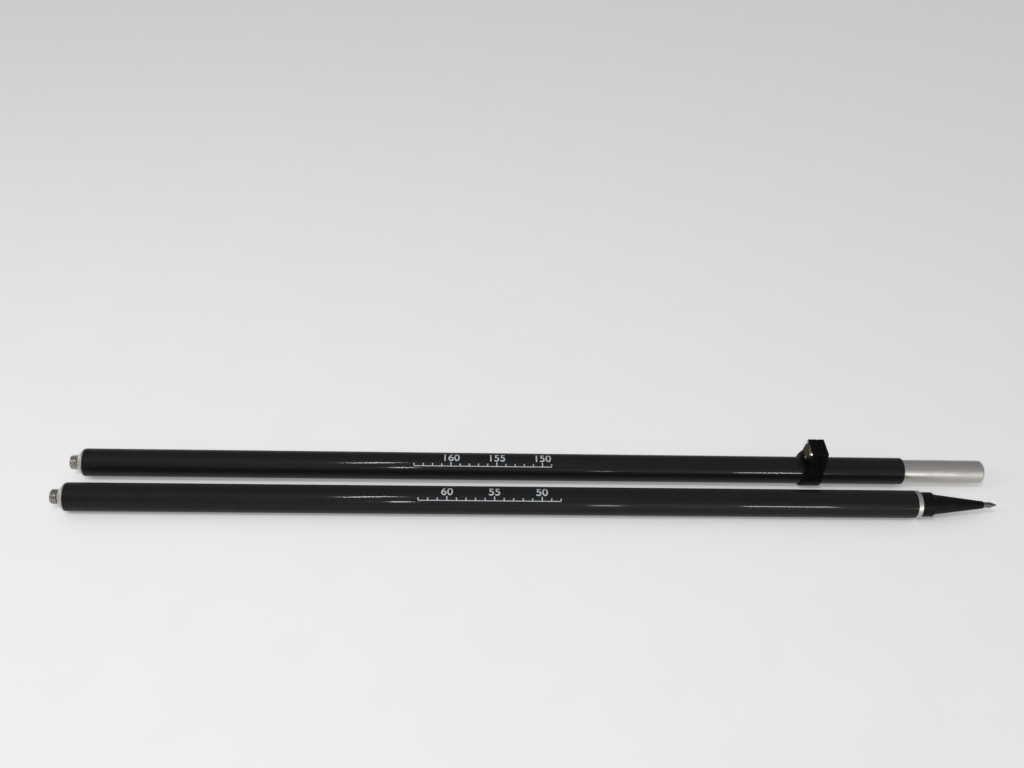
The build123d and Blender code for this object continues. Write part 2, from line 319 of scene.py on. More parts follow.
def profile(*corners, ring=False):
    """(x, radius, rounding) corners become x, radius and edge mark of a line of points.

    Straight stretches get a point close to either end, and points no further apart than the longest step.
    """
    places = np.array([corner[:2] for corner in corners], float)
    groups = []
    for number, corner in enumerate(corners):
        rounding = corner[2] if len(corner) > 2 else 0.0
        if rounding:
            after = places[(number + 1) % len(places)]
            groups.append(rounded_corner(places[number - 1], places[number], after, rounding))
        else:
            groups.append((places[number : number + 1], np.zeros(1)))
    line, edge = [], []
    for number, (points, marks) in enumerate(groups):
        line.append(points)
        edge.append(marks)
        if ring or number + 1 < len(groups):
            stretch = straight(points[-1], groups[(number + 1) % len(groups)][0][0])
            line.append(stretch)
            edge.append(np.zeros(len(stretch)))
    line = np.concatenate(line)
    return line[:, 0], line[:, 1], np.concatenate(edge)


print("a rod of 20 mm with one rounded end takes", len(profile((0, 0), (0, 5, 1), (20, 5))[0]), "points")

# %% Turning a profile
TURNED_COLUMNS = 96


def per_column(values, columns):
    """One value for each row, or one for each row and column, spread over all columns."""
    return np.broadcast_to(np.reshape(values, (len(values), -1)), (len(values), columns))


def joined(*lines):
    """Several stretches of a profile, one after the other. A radius may differ from column to column."""
    columns = max(np.shape(radius)[1] if np.ndim(radius) > 1 else 1 for _, radius, _ in lines)
    radii = [per_column(radius, columns) for _, radius, _ in lines]
    edges = [per_column(edge, columns) for _, _, edge in lines]
    return np.concatenate([line[0] for line in lines]), np.concatenate(radii), np.concatenate(edges)


def column_angles(columns):
    """Angles spread evenly over a full turn, the first at 0."""
    return np.arange(columns) / columns * TURN


def about_x(x, radius, angle):
    """Points round X, from the top towards -Y: y = -radius sin(angle) and z = radius cos(angle)."""
    x, radius, angle = np.broadcast_arrays(x, radius, angle)
    return np.stack([x, -radius * np.sin(angle), radius * np.cos(angle)], -1)


def turned(line, place, columns=TURNED_COLUMNS, ring=False, unit_length=1.0, around=None):
    """Carries a profile round X, with every point at its own x and radius and each column at its own angle.

    The map counts the length along the profile one way, and the way round at its widest the other way.
    """
    x, radius, edge = line
    radius = per_column(radius, columns)
    points = about_x(x[:, None], radius, column_angles(columns))
    mean = radius.mean(1)
    steps = np.hypot(np.diff(x, append=x[:1]), np.diff(mean, append=mean[:1]))
    along = np.concatenate([[0], np.cumsum(steps)]) / unit_length
    round_about = np.linspace(0, around or TURN * radius.max() / unit_length, columns + 1)
    uv = np.stack(np.meshgrid(along, round_about, indexing="ij"), -1)
    return patch(place(points), uv, edge, ring_rows=ring)


print("a turned piece has a column every", 360 / TURNED_COLUMNS, "degrees")

# %% [markdown]
# ## Nodes in a few words
#
# A finish is a small network of nodes. A few helpers keep the networks readable: the first adds a node and
# connects or sets its inputs, the next ones do sums, mixtures and noise, and the last ones start a node
# group with named sockets and a material with its shader.

# %% Node helpers


def connect(tree, socket, value):
    """Links a socket to another one, or sets it where the value is plain."""
    if isinstance(value, bpy.types.NodeSocket):
        tree.links.new(value, socket)
    else:
        socket.default_value = value


def add(tree, kind, inputs=None, **settings):
    """Adds a node, sets it up, then links or sets its inputs."""
    made = tree.nodes.new(kind)
    for name, value in settings.items():
        setattr(made, name, value)
    for name, value in (inputs or {}).items():
        connect(tree, made.inputs[name], value)
    return made


def sums(tree, operation, *values):
    """One step of arithmetic on numbers or sockets."""
    return add(tree, "ShaderNodeMath", dict(enumerate(values)), operation=operation).outputs[0]


def between(tree, factor, low, high):
    """A colour between two colours."""
    mixed = add(tree, "ShaderNodeMix", {0: factor, 6: low, 7: high}, data_type="RGBA")
    return mixed.outputs[2]


def ranged(tree, value, start, end, low=0.0, high=1.0):
    """A value stretched from one range to another and held there."""
    inputs = {"Value": value, "From Min": start, "From Max": end, "To Min": low, "To Max": high}
    return add(tree, "ShaderNodeMapRange", inputs).outputs[0]


def noise(tree, vector, scale, detail=2.0):
    """Soft noise from 0 to 1 on a vector."""
    inputs = {"Vector": vector, "Scale": scale, "Detail": detail}
    return add(tree, "ShaderNodeTexNoise", inputs).outputs["Fac"]


def bumped(tree, height, depth):
    """A normal from a height between 0 and 1 that stands for a depth in metres."""
    return add(tree, "ShaderNodeBump", {"Height": height, "Distance": depth, "Strength": 1.0}).outputs[0]


# %% Groups and materials


def new_group(name, inputs, outputs):
    """A shader node group with named number or vector inputs and named number outputs."""
    group = bpy.data.node_groups.new(name, "ShaderNodeTree")
    for socket, kind, value in inputs:
        made = group.interface.new_socket(name=socket, in_out="INPUT", socket_type="NodeSocket" + kind)
        if value is not None:
            made.default_value = value
    for socket in outputs:
        group.interface.new_socket(name=socket, in_out="OUTPUT", socket_type="NodeSocketFloat")
    return group, group.nodes.new("NodeGroupInput").outputs, group.nodes.new("NodeGroupOutput").inputs


def placed(tree, group, inputs):
    """Places a node group in a material and gives its outputs."""
    return add(tree, "ShaderNodeGroup", inputs, node_tree=group).outputs


def new_finish(name):
    """A material with its shader, and the places that patterns are read from."""
    material = bpy.data.materials.new(name)
    material.use_nodes = True
    tree = material.node_tree
    tree.nodes.clear()
    shader = add(tree, "ShaderNodeBsdfPrincipled")
    add(tree, "ShaderNodeOutputMaterial", {"Surface": shader.outputs[0]})
    here = add(tree, "ShaderNodeTexCoord").outputs
    return material, tree, shader.inputs, here


# %% [markdown]
# ## Braided weave
#
# The skin of a tube is a carbon braid. Its tows, flat bundles of fibres, wind round the tube both ways at
# 45 degrees, and each passes over two of the others and under two. Where the light comes from one side the
# ridges of one family catch it above and those of the other below, which draws the fine chevrons. The map
# of a tube counts tows along and around it, so the pattern is simple arithmetic: the sum and the
# difference of the two number the tows, and a count modulo four says which is on top. A picture of cloth
# would be quicker, but it would blur up close and show a seam.

# %% Counting tows
BRAID_REPEAT = 4.0
TOWS_CROSSED = 2.0


def tow_counts(tree, place):
    """Sum and difference of the two directions of the map. Their whole parts number the tows."""
    along, around, _ = add(tree, "ShaderNodeSeparateXYZ", {0: place}).outputs
    return sums(tree, "ADD", along, around), sums(tree, "SUBTRACT", along, around)


def float_step(tree, map_x, map_y):
    """Where a crossing stands in the repeat of four, and whether the first family is on top there."""
    cell_x, cell_y = sums(tree, "FLOOR", map_x), sums(tree, "FLOOR", map_y)
    step = sums(tree, "FLOORED_MODULO", sums(tree, "SUBTRACT", cell_x, cell_y), BRAID_REPEAT)
    return step, sums(tree, "LESS_THAN", step, TOWS_CROSSED - 0.5)


# %% Braid group
FIBRES_PER_TOW = 16.0
FIBRE_DRIFT = 0.4
SHOWN_THROUGH = 0.25
STREAK_NOISE, STREAK_TONE = (0.3, 0.7), (0.6, 1.0)
GAP_RIDGE = (0.15, 0.75)


def make_braid():
    """Tone and height of a two by two braid.

    A tow on top is an arch, 4 s (1 - s), along its float and across its width. The one below shows through
    it faintly, and the gaps between tows are dark.
    """
    group, given, put = new_group("braided weave", [("Map", "Vector", None)], ["Tone", "Height"])
    map_x, map_y = tow_counts(group, given["Map"])
    in_x, in_y = sums(group, "FRACT", map_x), sums(group, "FRACT", map_y)
    step, first_on_top = float_step(group, map_x, map_y)

    def arch(share):
        rest = sums(group, "SUBTRACT", 1.0, share)
        return sums(group, "MULTIPLY", sums(group, "MULTIPLY", share, 4.0), rest)

    def choose(second, first):
        values = {0: first_on_top, 2: second, 3: first}
        return add(group, "ShaderNodeMix", values, data_type="FLOAT").outputs[0]

    def float_share(start, further):
        return sums(group, "MULTIPLY", sums(group, "ADD", start, further), 1 / TOWS_CROSSED)

    def height_of(ridge, share, under):
        over = sums(group, "MULTIPLY", ridge, ranged(group, arch(share), 0.0, 1.0, SHOWN_THROUGH, 1.0))
        return sums(group, "ADD", over, sums(group, "MULTIPLY", under, SHOWN_THROUGH))

    first_ridge, second_ridge = arch(in_y), arch(in_x)
    first_share = float_share(step, in_x)
    second_share = float_share(sums(group, "SUBTRACT", BRAID_REPEAT - 1, step), in_y)
    height = choose(
        height_of(second_ridge, second_share, first_ridge), height_of(first_ridge, first_share, second_ridge)
    )
    across_x, across_y = (sums(group, "MULTIPLY", count, FIBRES_PER_TOW) for count in (map_x, map_y))
    along_x, along_y = (sums(group, "MULTIPLY", count, FIBRE_DRIFT) for count in (map_x, map_y))
    fibres = {0: choose(across_x, along_x), 1: choose(along_y, across_y)}
    streaks = noise(group, add(group, "ShaderNodeCombineXYZ", fibres).outputs[0], 1.0)
    shine = ranged(group, streaks, *STREAK_NOISE, *STREAK_TONE)
    gaps = ranged(group, choose(second_ridge, first_ridge), *GAP_RIDGE)
    connect(group, put["Tone"], sums(group, "MULTIPLY", shine, gaps))
    connect(group, put["Height"], height)
    return group


braid = make_braid()
print("braid group with", len(braid.nodes), "nodes")

# %% [markdown]
# ## Turning lines, handling and worn edges
#
# Three effects are shared by several finishes. A lathe leaves fine rings, which are noise along the
# profile only. Hands leave faint smudges and hair scratches, which are noise in space. Edges lose their
# finish first, so wear is the edge mark of the mesh, broken up by noise.

# %% Turning lines
RING_DETAIL, RING_BREAK = 3.0, 0.6
RING_NOISE = (0.25, 0.75)


def make_turning_lines():
    """Noise along the first direction of the map alone, so that it runs round the axis in rings."""
    inputs = [("Map", "Vector", None), ("Lines", "Float", 5.0)]
    group, given, put = new_group("turning lines", inputs, ["Rings"])
    along = add(group, "ShaderNodeSeparateXYZ", {0: given["Map"]}).outputs[0]
    rings = {"W": along, "Scale": given["Lines"], "Detail": RING_DETAIL, "Roughness": RING_BREAK}
    made = add(group, "ShaderNodeTexNoise", rings, noise_dimensions="1D").outputs["Fac"]
    connect(group, put["Rings"], ranged(group, made, *RING_NOISE))
    return group


turning_lines = make_turning_lines()
print("effect group:", turning_lines.name)

# %% Handling and wear
SMUDGE_SCALE, SMUDGE_DETAIL, SMUDGE_NOISE = 38.0, 5.0, (0.42, 0.7)
HAIR_TURN, HAIR_SCALE, HAIR_NOISE = (0.3, 0.5, 0.4), (60.0, 1400.0, 1400.0), (0.68, 0.74)
SPOT_SCALE, SPOT_NOISE = 90.0, (0.5, 0.65)
WEAR_SCALE, WEAR_DETAIL, WEAR_NOISE, WEAR_CUT = 420.0, 4.0, (0.3, 0.75), (0.15, 0.7)


def make_handling():
    """Soft smudges, and hair scratches: noise stretched along a slanted line and cut off near its top."""
    group, given, put = new_group("handling", [("Place", "Vector", None)], ["Smudge", "Scratch"])
    soft = noise(group, given["Place"], SMUDGE_SCALE, SMUDGE_DETAIL)
    connect(group, put["Smudge"], ranged(group, soft, *SMUDGE_NOISE))
    slanted = {"Vector": given["Place"], "Rotation": HAIR_TURN, "Scale": HAIR_SCALE}
    hair_place = add(group, "ShaderNodeMapping", slanted).outputs[0]
    hairs = ranged(group, noise(group, hair_place, 1.0, 1.0), *HAIR_NOISE)
    spots = ranged(group, noise(group, given["Place"], SPOT_SCALE, 1.0), *SPOT_NOISE)
    connect(group, put["Scratch"], sums(group, "MULTIPLY", hairs, spots))
    return group


def make_edge_wear():
    """The mesh's edge mark, eaten away by noise: 1 where the finish is gone."""
    inputs = [("Place", "Vector", None), ("Amount", "Float", 0.5)]
    group, given, put = new_group("edge wear", inputs, ["Worn"])
    edge = add(group, "ShaderNodeAttribute", attribute_name="edge").outputs["Fac"]
    patchy = ranged(group, noise(group, given["Place"], WEAR_SCALE, WEAR_DETAIL), *WEAR_NOISE)
    worn = sums(group, "MULTIPLY", sums(group, "MULTIPLY", edge, patchy), given["Amount"])
    connect(group, put["Worn"], ranged(group, worn, *WEAR_CUT))
    return group


handling, edge_wear = make_handling(), make_edge_wear()
print("effect groups:", handling.name, "and", edge_wear.name)

# %% [markdown]
# ## The finishes
#
# The tube is dark braid under a clear coat. The Principled shader has a coat of its own, which keeps a
# sharp reflection while the weave below stays rough and bumped. Metals share one recipe with other values:
# a colour that turning lines and scratches vary, a roughness that smudges raise, and a bump of the same
# lines. The plugs and the sleeve are anodised, which the same coat shows as a thin skin.

# %% Carbon
CARBON_DARK = (0.0008, 0.0008, 0.0009, 1)
CARBON_LIGHT = (0.016, 0.016, 0.0166, 1)
CARBON_ROUGHNESS = (0.42, 0.3)
CARBON_GLOSS = 0.09
WEAVE_DEPTH = 0.00014
BRAID_ANGLE = math.radians(45)
FIBRE_SPREAD = 0.9
COAT_WEIGHT = (0.17, 0.13)
COAT_ROUGHNESS = 0.06


def carbon_finish():
    """A braid under a gloss clear coat with a few smudges.

    Fibres spread a highlight across themselves, so the direction of the spread is the way round the tube,
    turned by 45 degrees to one side or to the other, as the family on top runs.
    """
    material, tree, shader, here = new_finish("clear_coated_carbon")
    weave = placed(tree, braid, {"Map": here["UV"]})
    marks = placed(tree, handling, {"Place": here["Object"]})
    connect(tree, shader["Base Color"], between(tree, weave["Tone"], CARBON_DARK, CARBON_LIGHT))
    connect(tree, shader["Roughness"], ranged(tree, weave["Height"], 0.0, 1.0, *CARBON_ROUGHNESS))
    connect(tree, shader["Normal"], bumped(tree, weave["Height"], WEAVE_DEPTH))
    connect(tree, shader["Coat Weight"], ranged(tree, marks["Smudge"], 0.0, 1.0, *COAT_WEIGHT))
    round_axis = add(tree, "ShaderNodeTangent", direction_type="RADIAL", axis="X").outputs[0]
    outwards = add(tree, "ShaderNodeNewGeometry").outputs["Normal"]
    _, first_on_top = float_step(tree, *tow_counts(tree, here["UV"]))
    turn = ranged(tree, first_on_top, 0.0, 1.0, -BRAID_ANGLE, BRAID_ANGLE)
    across = add(tree, "ShaderNodeVectorRotate", {"Vector": round_axis, "Axis": outwards, "Angle": turn})
    connect(tree, shader["Tangent"], across.outputs[0])
    shader["Anisotropic"].default_value = FIBRE_SPREAD
    shader["Specular IOR Level"].default_value = CARBON_GLOSS
    shader["Coat Roughness"].default_value = COAT_ROUGHNESS
    return material


carbon = carbon_finish()
print("finish", carbon.name)

# %% Metals
SMUDGE_SHARE, RING_SHARE = 0.6, 0.35
METAL_SPREAD = (0.85, 1.25)


def metal_finish(name, colour, dull, roughness, lines=5.0, line_depth=0.000004, scratched=0.5, sealed=0.0):
    """A turned metal: rings vary its colour, roughness and normal, and smudges and scratches dull it.

    Where it is anodised a thin sealed skin lies over it.
    """
    material, tree, shader, here = new_finish(name)
    rings = placed(tree, turning_lines, {"Map": here["UV"], "Lines": lines})["Rings"]
    marks = placed(tree, handling, {"Place": here["Object"]})
    dulled = sums(tree, "MULTIPLY", marks["Smudge"], SMUDGE_SHARE)
    tone = sums(tree, "ADD", dulled, sums(tree, "MULTIPLY", rings, RING_SHARE))
    scratch = sums(tree, "MULTIPLY", marks["Scratch"], scratched)
    connect(tree, shader["Base Color"], between(tree, sums(tree, "ADD", tone, scratch), colour, dull))
    smoothest, roughest = (roughness * share for share in METAL_SPREAD)
    rough = sums(tree, "ADD", ranged(tree, tone, 0.0, 1.0, smoothest, roughest), scratch)
    connect(tree, shader["Roughness"], rough)
    connect(tree, shader["Normal"], bumped(tree, rings, line_depth))
    shader["Metallic"].default_value = 1.0
    shader["Coat Weight"].default_value = sealed
    shader["Coat Roughness"].default_value = COAT_ROUGHNESS
    return material


aluminium = metal_finish(
    "lathe_aluminium", (0.50, 0.482, 0.455, 1), (0.41, 0.392, 0.368, 1), 0.5, scratched=0.2, sealed=0.45
)
stud_metal = metal_finish(
    "machined_stud", (0.54, 0.517, 0.486, 1), (0.36, 0.346, 0.324, 1), 0.28, lines=7.0
)
tip_steel = metal_finish(
    "ground_steel", (0.21, 0.198, 0.176, 1), (0.09, 0.083, 0.075, 1), 0.36,
    lines=9.0, line_depth=0.000008, scratched=0.9,
)
screw_steel = metal_finish("plated_screw", (0.86, 0.85, 0.83, 1), (0.7, 0.69, 0.66, 1), 0.2, lines=12.0)
vial_metal = metal_finish(
    "vial_cup_metal", (0.055, 0.054, 0.051, 1), (0.035, 0.034, 0.032, 1), 0.28, lines=9.0
)
print("metals:", [metal.name for metal in (aluminium, stud_metal, tip_steel, screw_steel, vial_metal)])

# %% [markdown]
# The bracket, the housing and the cone are black anodised aluminium: matt, faintly grained, and worn to
# bare metal in places along the edges. The liner, washers and gasket are moulded and have no metal under
# them.

# %% Blacks
BARE_METAL = (0.30, 0.29, 0.275, 1)
BARE_SHARE = 0.9
POLISH = 0.12
GRAIN_DETAIL, GRAIN_NOISE = 3.0, (0.3, 0.7)
BLACK_SPREAD = (0.9, 1.12)


def black_finish(name, colour, faded, roughness, gloss, worn=0.0, grain=2600.0, grain_depth=0.000012):
    """A black surface with grain and faded patches. A coat that wears shows bare metal along its edges."""
    material, tree, shader, here = new_finish(name)
    marks = placed(tree, handling, {"Place": here["Object"]})
    grains = noise(tree, here["Object"], grain, GRAIN_DETAIL)
    surface = between(tree, marks["Smudge"], colour, faded)
    if worn:
        wear = placed(tree, edge_wear, {"Place": here["Object"], "Amount": worn})["Worn"]
        surface = between(tree, wear, surface, BARE_METAL)
        connect(tree, shader["Metallic"], sums(tree, "MULTIPLY", wear, BARE_SHARE))
    connect(tree, shader["Base Color"], surface)
    smoothest, roughest = (roughness * share for share in BLACK_SPREAD)
    rough = ranged(tree, grains, *GRAIN_NOISE, smoothest, roughest)
    polished = sums(tree, "MULTIPLY", marks["Scratch"], POLISH)
    connect(tree, shader["Roughness"], sums(tree, "SUBTRACT", rough, polished))
    connect(tree, shader["Normal"], bumped(tree, grains, grain_depth))
    shader["Specular IOR Level"].default_value = gloss
    return material


point_black = black_finish(
    "anodised_cone", (0.0035, 0.0033, 0.0031, 1), (0.007, 0.0066, 0.0062, 1), 0.46, gloss=0.09, worn=0.2
)
bracket_black = black_finish(
    "anodised_bracket", (0.0022, 0.0022, 0.0023, 1), (0.0045, 0.0045, 0.0047, 1), 0.4, gloss=0.06, worn=0.25
)
liner_nylon = black_finish(
    "moulded_nylon", (0.004, 0.004, 0.004, 1), (0.007, 0.007, 0.007, 1), 0.5, gloss=0.14, grain=1500.0
)
rubber = black_finish(
    "moulded_rubber", (0.005, 0.005, 0.005, 1), (0.009, 0.009, 0.009, 1), 0.7,
    gloss=0.15, grain=3500.0, grain_depth=0.00002,
)
print("blacks:", [black.name for black in (point_black, bracket_black, liner_nylon, rubber)])

# %% [markdown]
# The vial holds a yellow-green spirit under a tinted window. The window is glass to the shader: all of the
# light goes through it. The spirit is dense enough to be opaque. The height marks on the tubes are a pale
# ink, thin in places.

# %% Window and spirit
WINDOW_TINT, WINDOW_GLINT = (0.80, 0.72, 0.05, 1), (0.25, 0.25, 0.25, 1)
WINDOW_IOR, WINDOW_HAZE = 1.05, (0.015, 0.06)
SPIRIT_IOR, SPIRIT_ROUGHNESS, SPIRIT_GLOSS = 1.36, 0.2, 0.1
SWIRL_SCALE, SWIRL_NOISE = 300.0, (0.35, 0.65)


def window_finish():
    """Yellow-tinted acrylic, with a trace of haze where it was wiped."""
    material, tree, shader, here = new_finish("tinted_window")
    haze = placed(tree, handling, {"Place": here["Object"]})["Smudge"]
    connect(tree, shader["Roughness"], ranged(tree, haze, 0.0, 1.0, *WINDOW_HAZE))
    shader["Base Color"].default_value = WINDOW_TINT
    shader["IOR"].default_value = WINDOW_IOR
    shader["Specular Tint"].default_value = WINDOW_GLINT
    shader["Transmission Weight"].default_value = 1.0
    return material


def spirit_finish(name, colour, pale, clear):
    """A tinted liquid, a little paler in slow swirls."""
    material, tree, shader, here = new_finish(name)
    swirl = ranged(tree, noise(tree, here["Object"], SWIRL_SCALE), *SWIRL_NOISE)
    connect(tree, shader["Base Color"], between(tree, swirl, colour, pale))
    shader["Roughness"].default_value = SPIRIT_ROUGHNESS
    shader["IOR"].default_value = SPIRIT_IOR
    shader["Specular IOR Level"].default_value = SPIRIT_GLOSS
    shader["Transmission Weight"].default_value = clear
    return material


vial_window = window_finish()
vial_spirit = spirit_finish("vial_spirit", (0.28, 0.245, 0.004, 1), (0.35, 0.31, 0.007, 1), clear=0.0)
vial_air = spirit_finish("vial_bubble_air", (0.60, 0.57, 0.12, 1), (0.68, 0.65, 0.2, 1), clear=0.3)
print("finishes:", [made.name for made in (vial_window, vial_spirit, vial_air)])

# %% Ink
INK_FULL, INK_THIN = (0.52, 0.56, 0.60, 1), (0.36, 0.39, 0.42, 1)
INK_ROUGHNESS = (0.38, 0.55)
SPECK_SCALE, SPECK_DETAIL, SPECK_NOISE = 1800.0, 3.0, (0.55, 0.75)


def ink_finish():
    """Pale ink on the clear coat, thinner in specks."""
    material, tree, shader, here = new_finish("pale_ink")
    specks = ranged(tree, noise(tree, here["Object"], SPECK_SCALE, SPECK_DETAIL), *SPECK_NOISE)
    connect(tree, shader["Base Color"], between(tree, specks, INK_FULL, INK_THIN))
    connect(tree, shader["Roughness"], ranged(tree, specks, 0.0, 1.0, *INK_ROUGHNESS))
    return material


pale_ink = ink_finish()
print("finish", pale_ink.name)

# %% [markdown]
# ## The carbon tubes
#
# Each section is a tube 30 mm across with a wall of 2 mm. Its profile is a long thin ring, carried round
# the axis in 128 steps, so that the highlight along it stays straight. The map counts tows: a whole number
# goes round, and it is a multiple of four, so the braid meets itself without a seam.

# %% Tubes
TUBE_R = mounts["lower_tube_grip"]["dims"]["r_mm"]
TUBE_WALL = 2.0
BORE_R = TUBE_R - TUBE_WALL
TUBE_EDGE = 0.4
TUBE_COLUMNS = 128
TOWS_ROUND = 24
TOW = TURN * TUBE_R / TOWS_ROUND


def tube(section, place):
    """A closed profile of outer wall, end, bore and other end, turned about the axis."""
    node = section + "_tube"
    start, end = span(node)
    wall = profile(
        (start, TUBE_R, TUBE_EDGE), (end, TUBE_R, TUBE_EDGE), (end, BORE_R), (start, BORE_R), ring=True
    )
    skin = turned(wall, place, TUBE_COLUMNS, ring=True, unit_length=TOW, around=TOWS_ROUND)
    build(node + "_skin", [skin], carbon, section + "_section", "carbon", node)


for section, place in SECTIONS.items():
    tube(section, place)
print("tows cross the axis every", round(TOW, 3), "mm")

# %% [markdown]
# ## End plugs and studs
#
# An aluminium plug closes the upper end of each tube. Its shoulder narrows to a flat seat, and a stud with
# the 5/8 inch thread that survey gear shares stands in it. A thread can be a bump or a picture, but its
# crests show against the light, so the stud is a true right-hand helix, with a relief groove at the seat
# and a chamfer at the end. The rows of its grid climb with the thread: each row keeps one place in the
# thread's section, so the crests and roots come out as clean lines.

# %% End plugs
STUD_R = mounts["section_stud"]["dims"]["r_mm"]
STUD_HOLE_SHOWN = 3.0
STUD_HOLE_EDGE = 0.15
THREAD_GAP = 0.05
SEAT_WIDTH = 1.55
SEAT_EDGE = 0.3
SHOULDER_INSET = 0.2
SHOULDER_EDGE = 0.3
SHOULDER_RIM = 1.5
RIM_EDGE = 0.2
SPIGOT_R = BORE_R - 0.1
SPIGOT_EDGE = 1.0


def end_plug(section, place):
    """A seat with the stud's hole, a conical shoulder up to a short rim, and a spigot inside the tube."""
    node = section + "_end_plug"
    seat, end = span(node)
    tube_start = span(section + "_tube")[0]
    hole_end, hole_r = seat + STUD_HOLE_SHOWN, STUD_R + THREAD_GAP
    rim_start, rim_r = tube_start - SHOULDER_RIM, TUBE_R - SHOULDER_INSET
    line = profile(
        (hole_end, 0), (hole_end, hole_r), (seat, hole_r, STUD_HOLE_EDGE),
        (seat, STUD_R + SEAT_WIDTH, SEAT_EDGE), (rim_start, rim_r, SHOULDER_EDGE),
        (tube_start, rim_r, RIM_EDGE), (tube_start, SPIGOT_R), (end, SPIGOT_R, SPIGOT_EDGE), (end, 0),
    )
    build(node + "_turned", [turned(line, place)], aluminium, section + "_section", "turned_aluminium", node)


for section, place in SECTIONS.items():
    end_plug(section, place)

# %% Threads
THREAD_PITCH = 25.4 / 11
# Where rows run in a turn of the thread: mid root, either side of each edge, and halfway up both flanks.
THREAD_PHASES = np.array((0.0, 0.11, 0.14, 0.28, 0.4225, 0.4525, 0.5475, 0.5775, 0.72, 0.86, 0.89))
THREAD_COLUMNS = 120
CREST_FLAT, ROOT_FLAT = 1 / 8, 1 / 4


def thread_share(phase):
    """0 on the crest, around phase 0.5, and 1 in the root.

    The crest's flat is an eighth of a pitch, the root's a quarter, and straight flanks join them.
    """
    off_crest = np.abs(np.mod(phase, 1.0) - 0.5) * 2
    return np.clip((off_crest - CREST_FLAT) / (1 - CREST_FLAT - ROOT_FLAT), 0, 1)


def helix(low, high, radius_at, place):
    """Rows that climb with a right-hand thread: x = pitch (turns + angle / full turn), between two ends.

    The last column lies one pitch on from the first, so its points fall on the first's and are welded.
    """
    turns = np.arange(math.floor(low / THREAD_PITCH) - 1, math.ceil(high / THREAD_PITCH) + 1)
    turns = (turns[:, None] + THREAD_PHASES).reshape(-1, 1)
    angle = np.linspace(0, TURN, THREAD_COLUMNS + 1)
    x = np.clip(THREAD_PITCH * (turns + angle / TURN), low, high)
    share = np.broadcast_to(thread_share(turns), x.shape)
    radius = radius_at(x, share)
    uv = np.stack([np.pad(x, (0, 1), "edge"), np.pad(angle * radius.max() + 0 * x, (0, 1), "edge")], -1)
    return patch(place(about_x(x, radius, angle)), uv, 1 - share, ring_columns=False)


print("thread pitch", round(THREAD_PITCH, 3), "mm")

# %% Studs
STUD_THREAD_DEPTH = 0.6134 * THREAD_PITCH
STUD_RELIEF_WIDTH = 0.8
STUD_RELIEF_R = STUD_R - 1.0
STUD_RUN_IN_SLOPE = 1.5
STUD_CHAMFER = 1.3
STUD_FACE_R = STUD_R - STUD_CHAMFER - 0.4
STUD_SEATED = 1.0


def stud(section, place):
    """Relief groove, thread and chamfered end. The thread's radius is cut by the run-in and the chamfer."""
    node = section + "_stud"
    end, seat = span(node)[0], span(section + "_end_plug")[0]
    relief_end, root = seat - STUD_RELIEF_WIDTH, seat + STUD_SEATED

    def radius_at(x, share):
        run_in = STUD_RELIEF_R + STUD_RUN_IN_SLOPE * (relief_end - x)
        chamfer = STUD_R - STUD_CHAMFER + (x - end)
        radius = np.minimum(STUD_R - STUD_THREAD_DEPTH * share, np.minimum(run_in, chamfer))
        return np.where(x <= end, STUD_FACE_R, np.where(x >= relief_end, STUD_RELIEF_R, radius))

    neck = profile((root, 0), (root, STUD_RELIEF_R), (relief_end, STUD_RELIEF_R))
    face = profile((end, STUD_FACE_R), (end, 0))
    grids = [turned(line, place, THREAD_COLUMNS) for line in (neck, face)]
    grids.append(helix(end, relief_end, radius_at, place))
    build(node + "_threaded", grids, stud_metal, section + "_section", "stud_metal", node)


for section, place in SECTIONS.items():
    stud(section, place)

# %% [markdown]
# ## The ground point
#
# At its other end the lower tube holds a plug whose flange shows as a bright ring. A black cone screws
# into it, and a hard steel tip into the cone, so that a worn tip can be changed. All three are plain
# turned profiles. A small step in front of the cone's collar and fine gaps between the pieces show that
# they come apart.

# %% Ring
SHANK_R = 7.9375
SHANK_ROOM = 2.0
RING_TUBE_EDGE = 0.35
RING_EDGE = 0.4
RING_HOLE_EDGE = 0.2

tube_end = span("lower_tube")[1]
plug_start, ring_end = span("foot_plug")
shank_start, cone_end = span("point_body")
shank_hole_start, shank_hole_r = shank_start - SHANK_ROOM, SHANK_R + THREAD_GAP
ring_line = profile(
    (plug_start, 0), (plug_start, SPIGOT_R, SPIGOT_EDGE), (tube_end, SPIGOT_R),
    (tube_end, TUBE_R, RING_TUBE_EDGE), (ring_end, TUBE_R, RING_EDGE),
    (ring_end, shank_hole_r, RING_HOLE_EDGE), (shank_hole_start, shank_hole_r), (shank_hole_start, 0),
)
ring_grid = turned(ring_line, on_lower, TUBE_COLUMNS)
build("foot_plug_turned", [ring_grid], aluminium, "lower_section", "turned_aluminium", "foot_plug")
print("ring", round(ring_end - tube_end, 1), "mm wide")

# %% Cone and tip
FACE_GAP = 0.05
SHANK_EDGE = 0.5
COLLAR_R = 13.3
COLLAR_LENGTH = 14.0
COLLAR_STEP = 2.2
CONE_EDGE = 0.4
CONE_END_LIP = 0.9
CONE_END_EDGE = 0.25
TIP_R = 3.1
TIP_SHANK = 14.0
TIP_SHANK_R = TIP_R - 0.6
TIP_SHANK_ROOM = 1.0
TIP_TAPER = 7.5
TIP_SHOULDER_ROUND = 2.0
TIP_BLUNT_R = 0.3
TIP_EDGE = 0.2
TIP_COLUMNS = 64

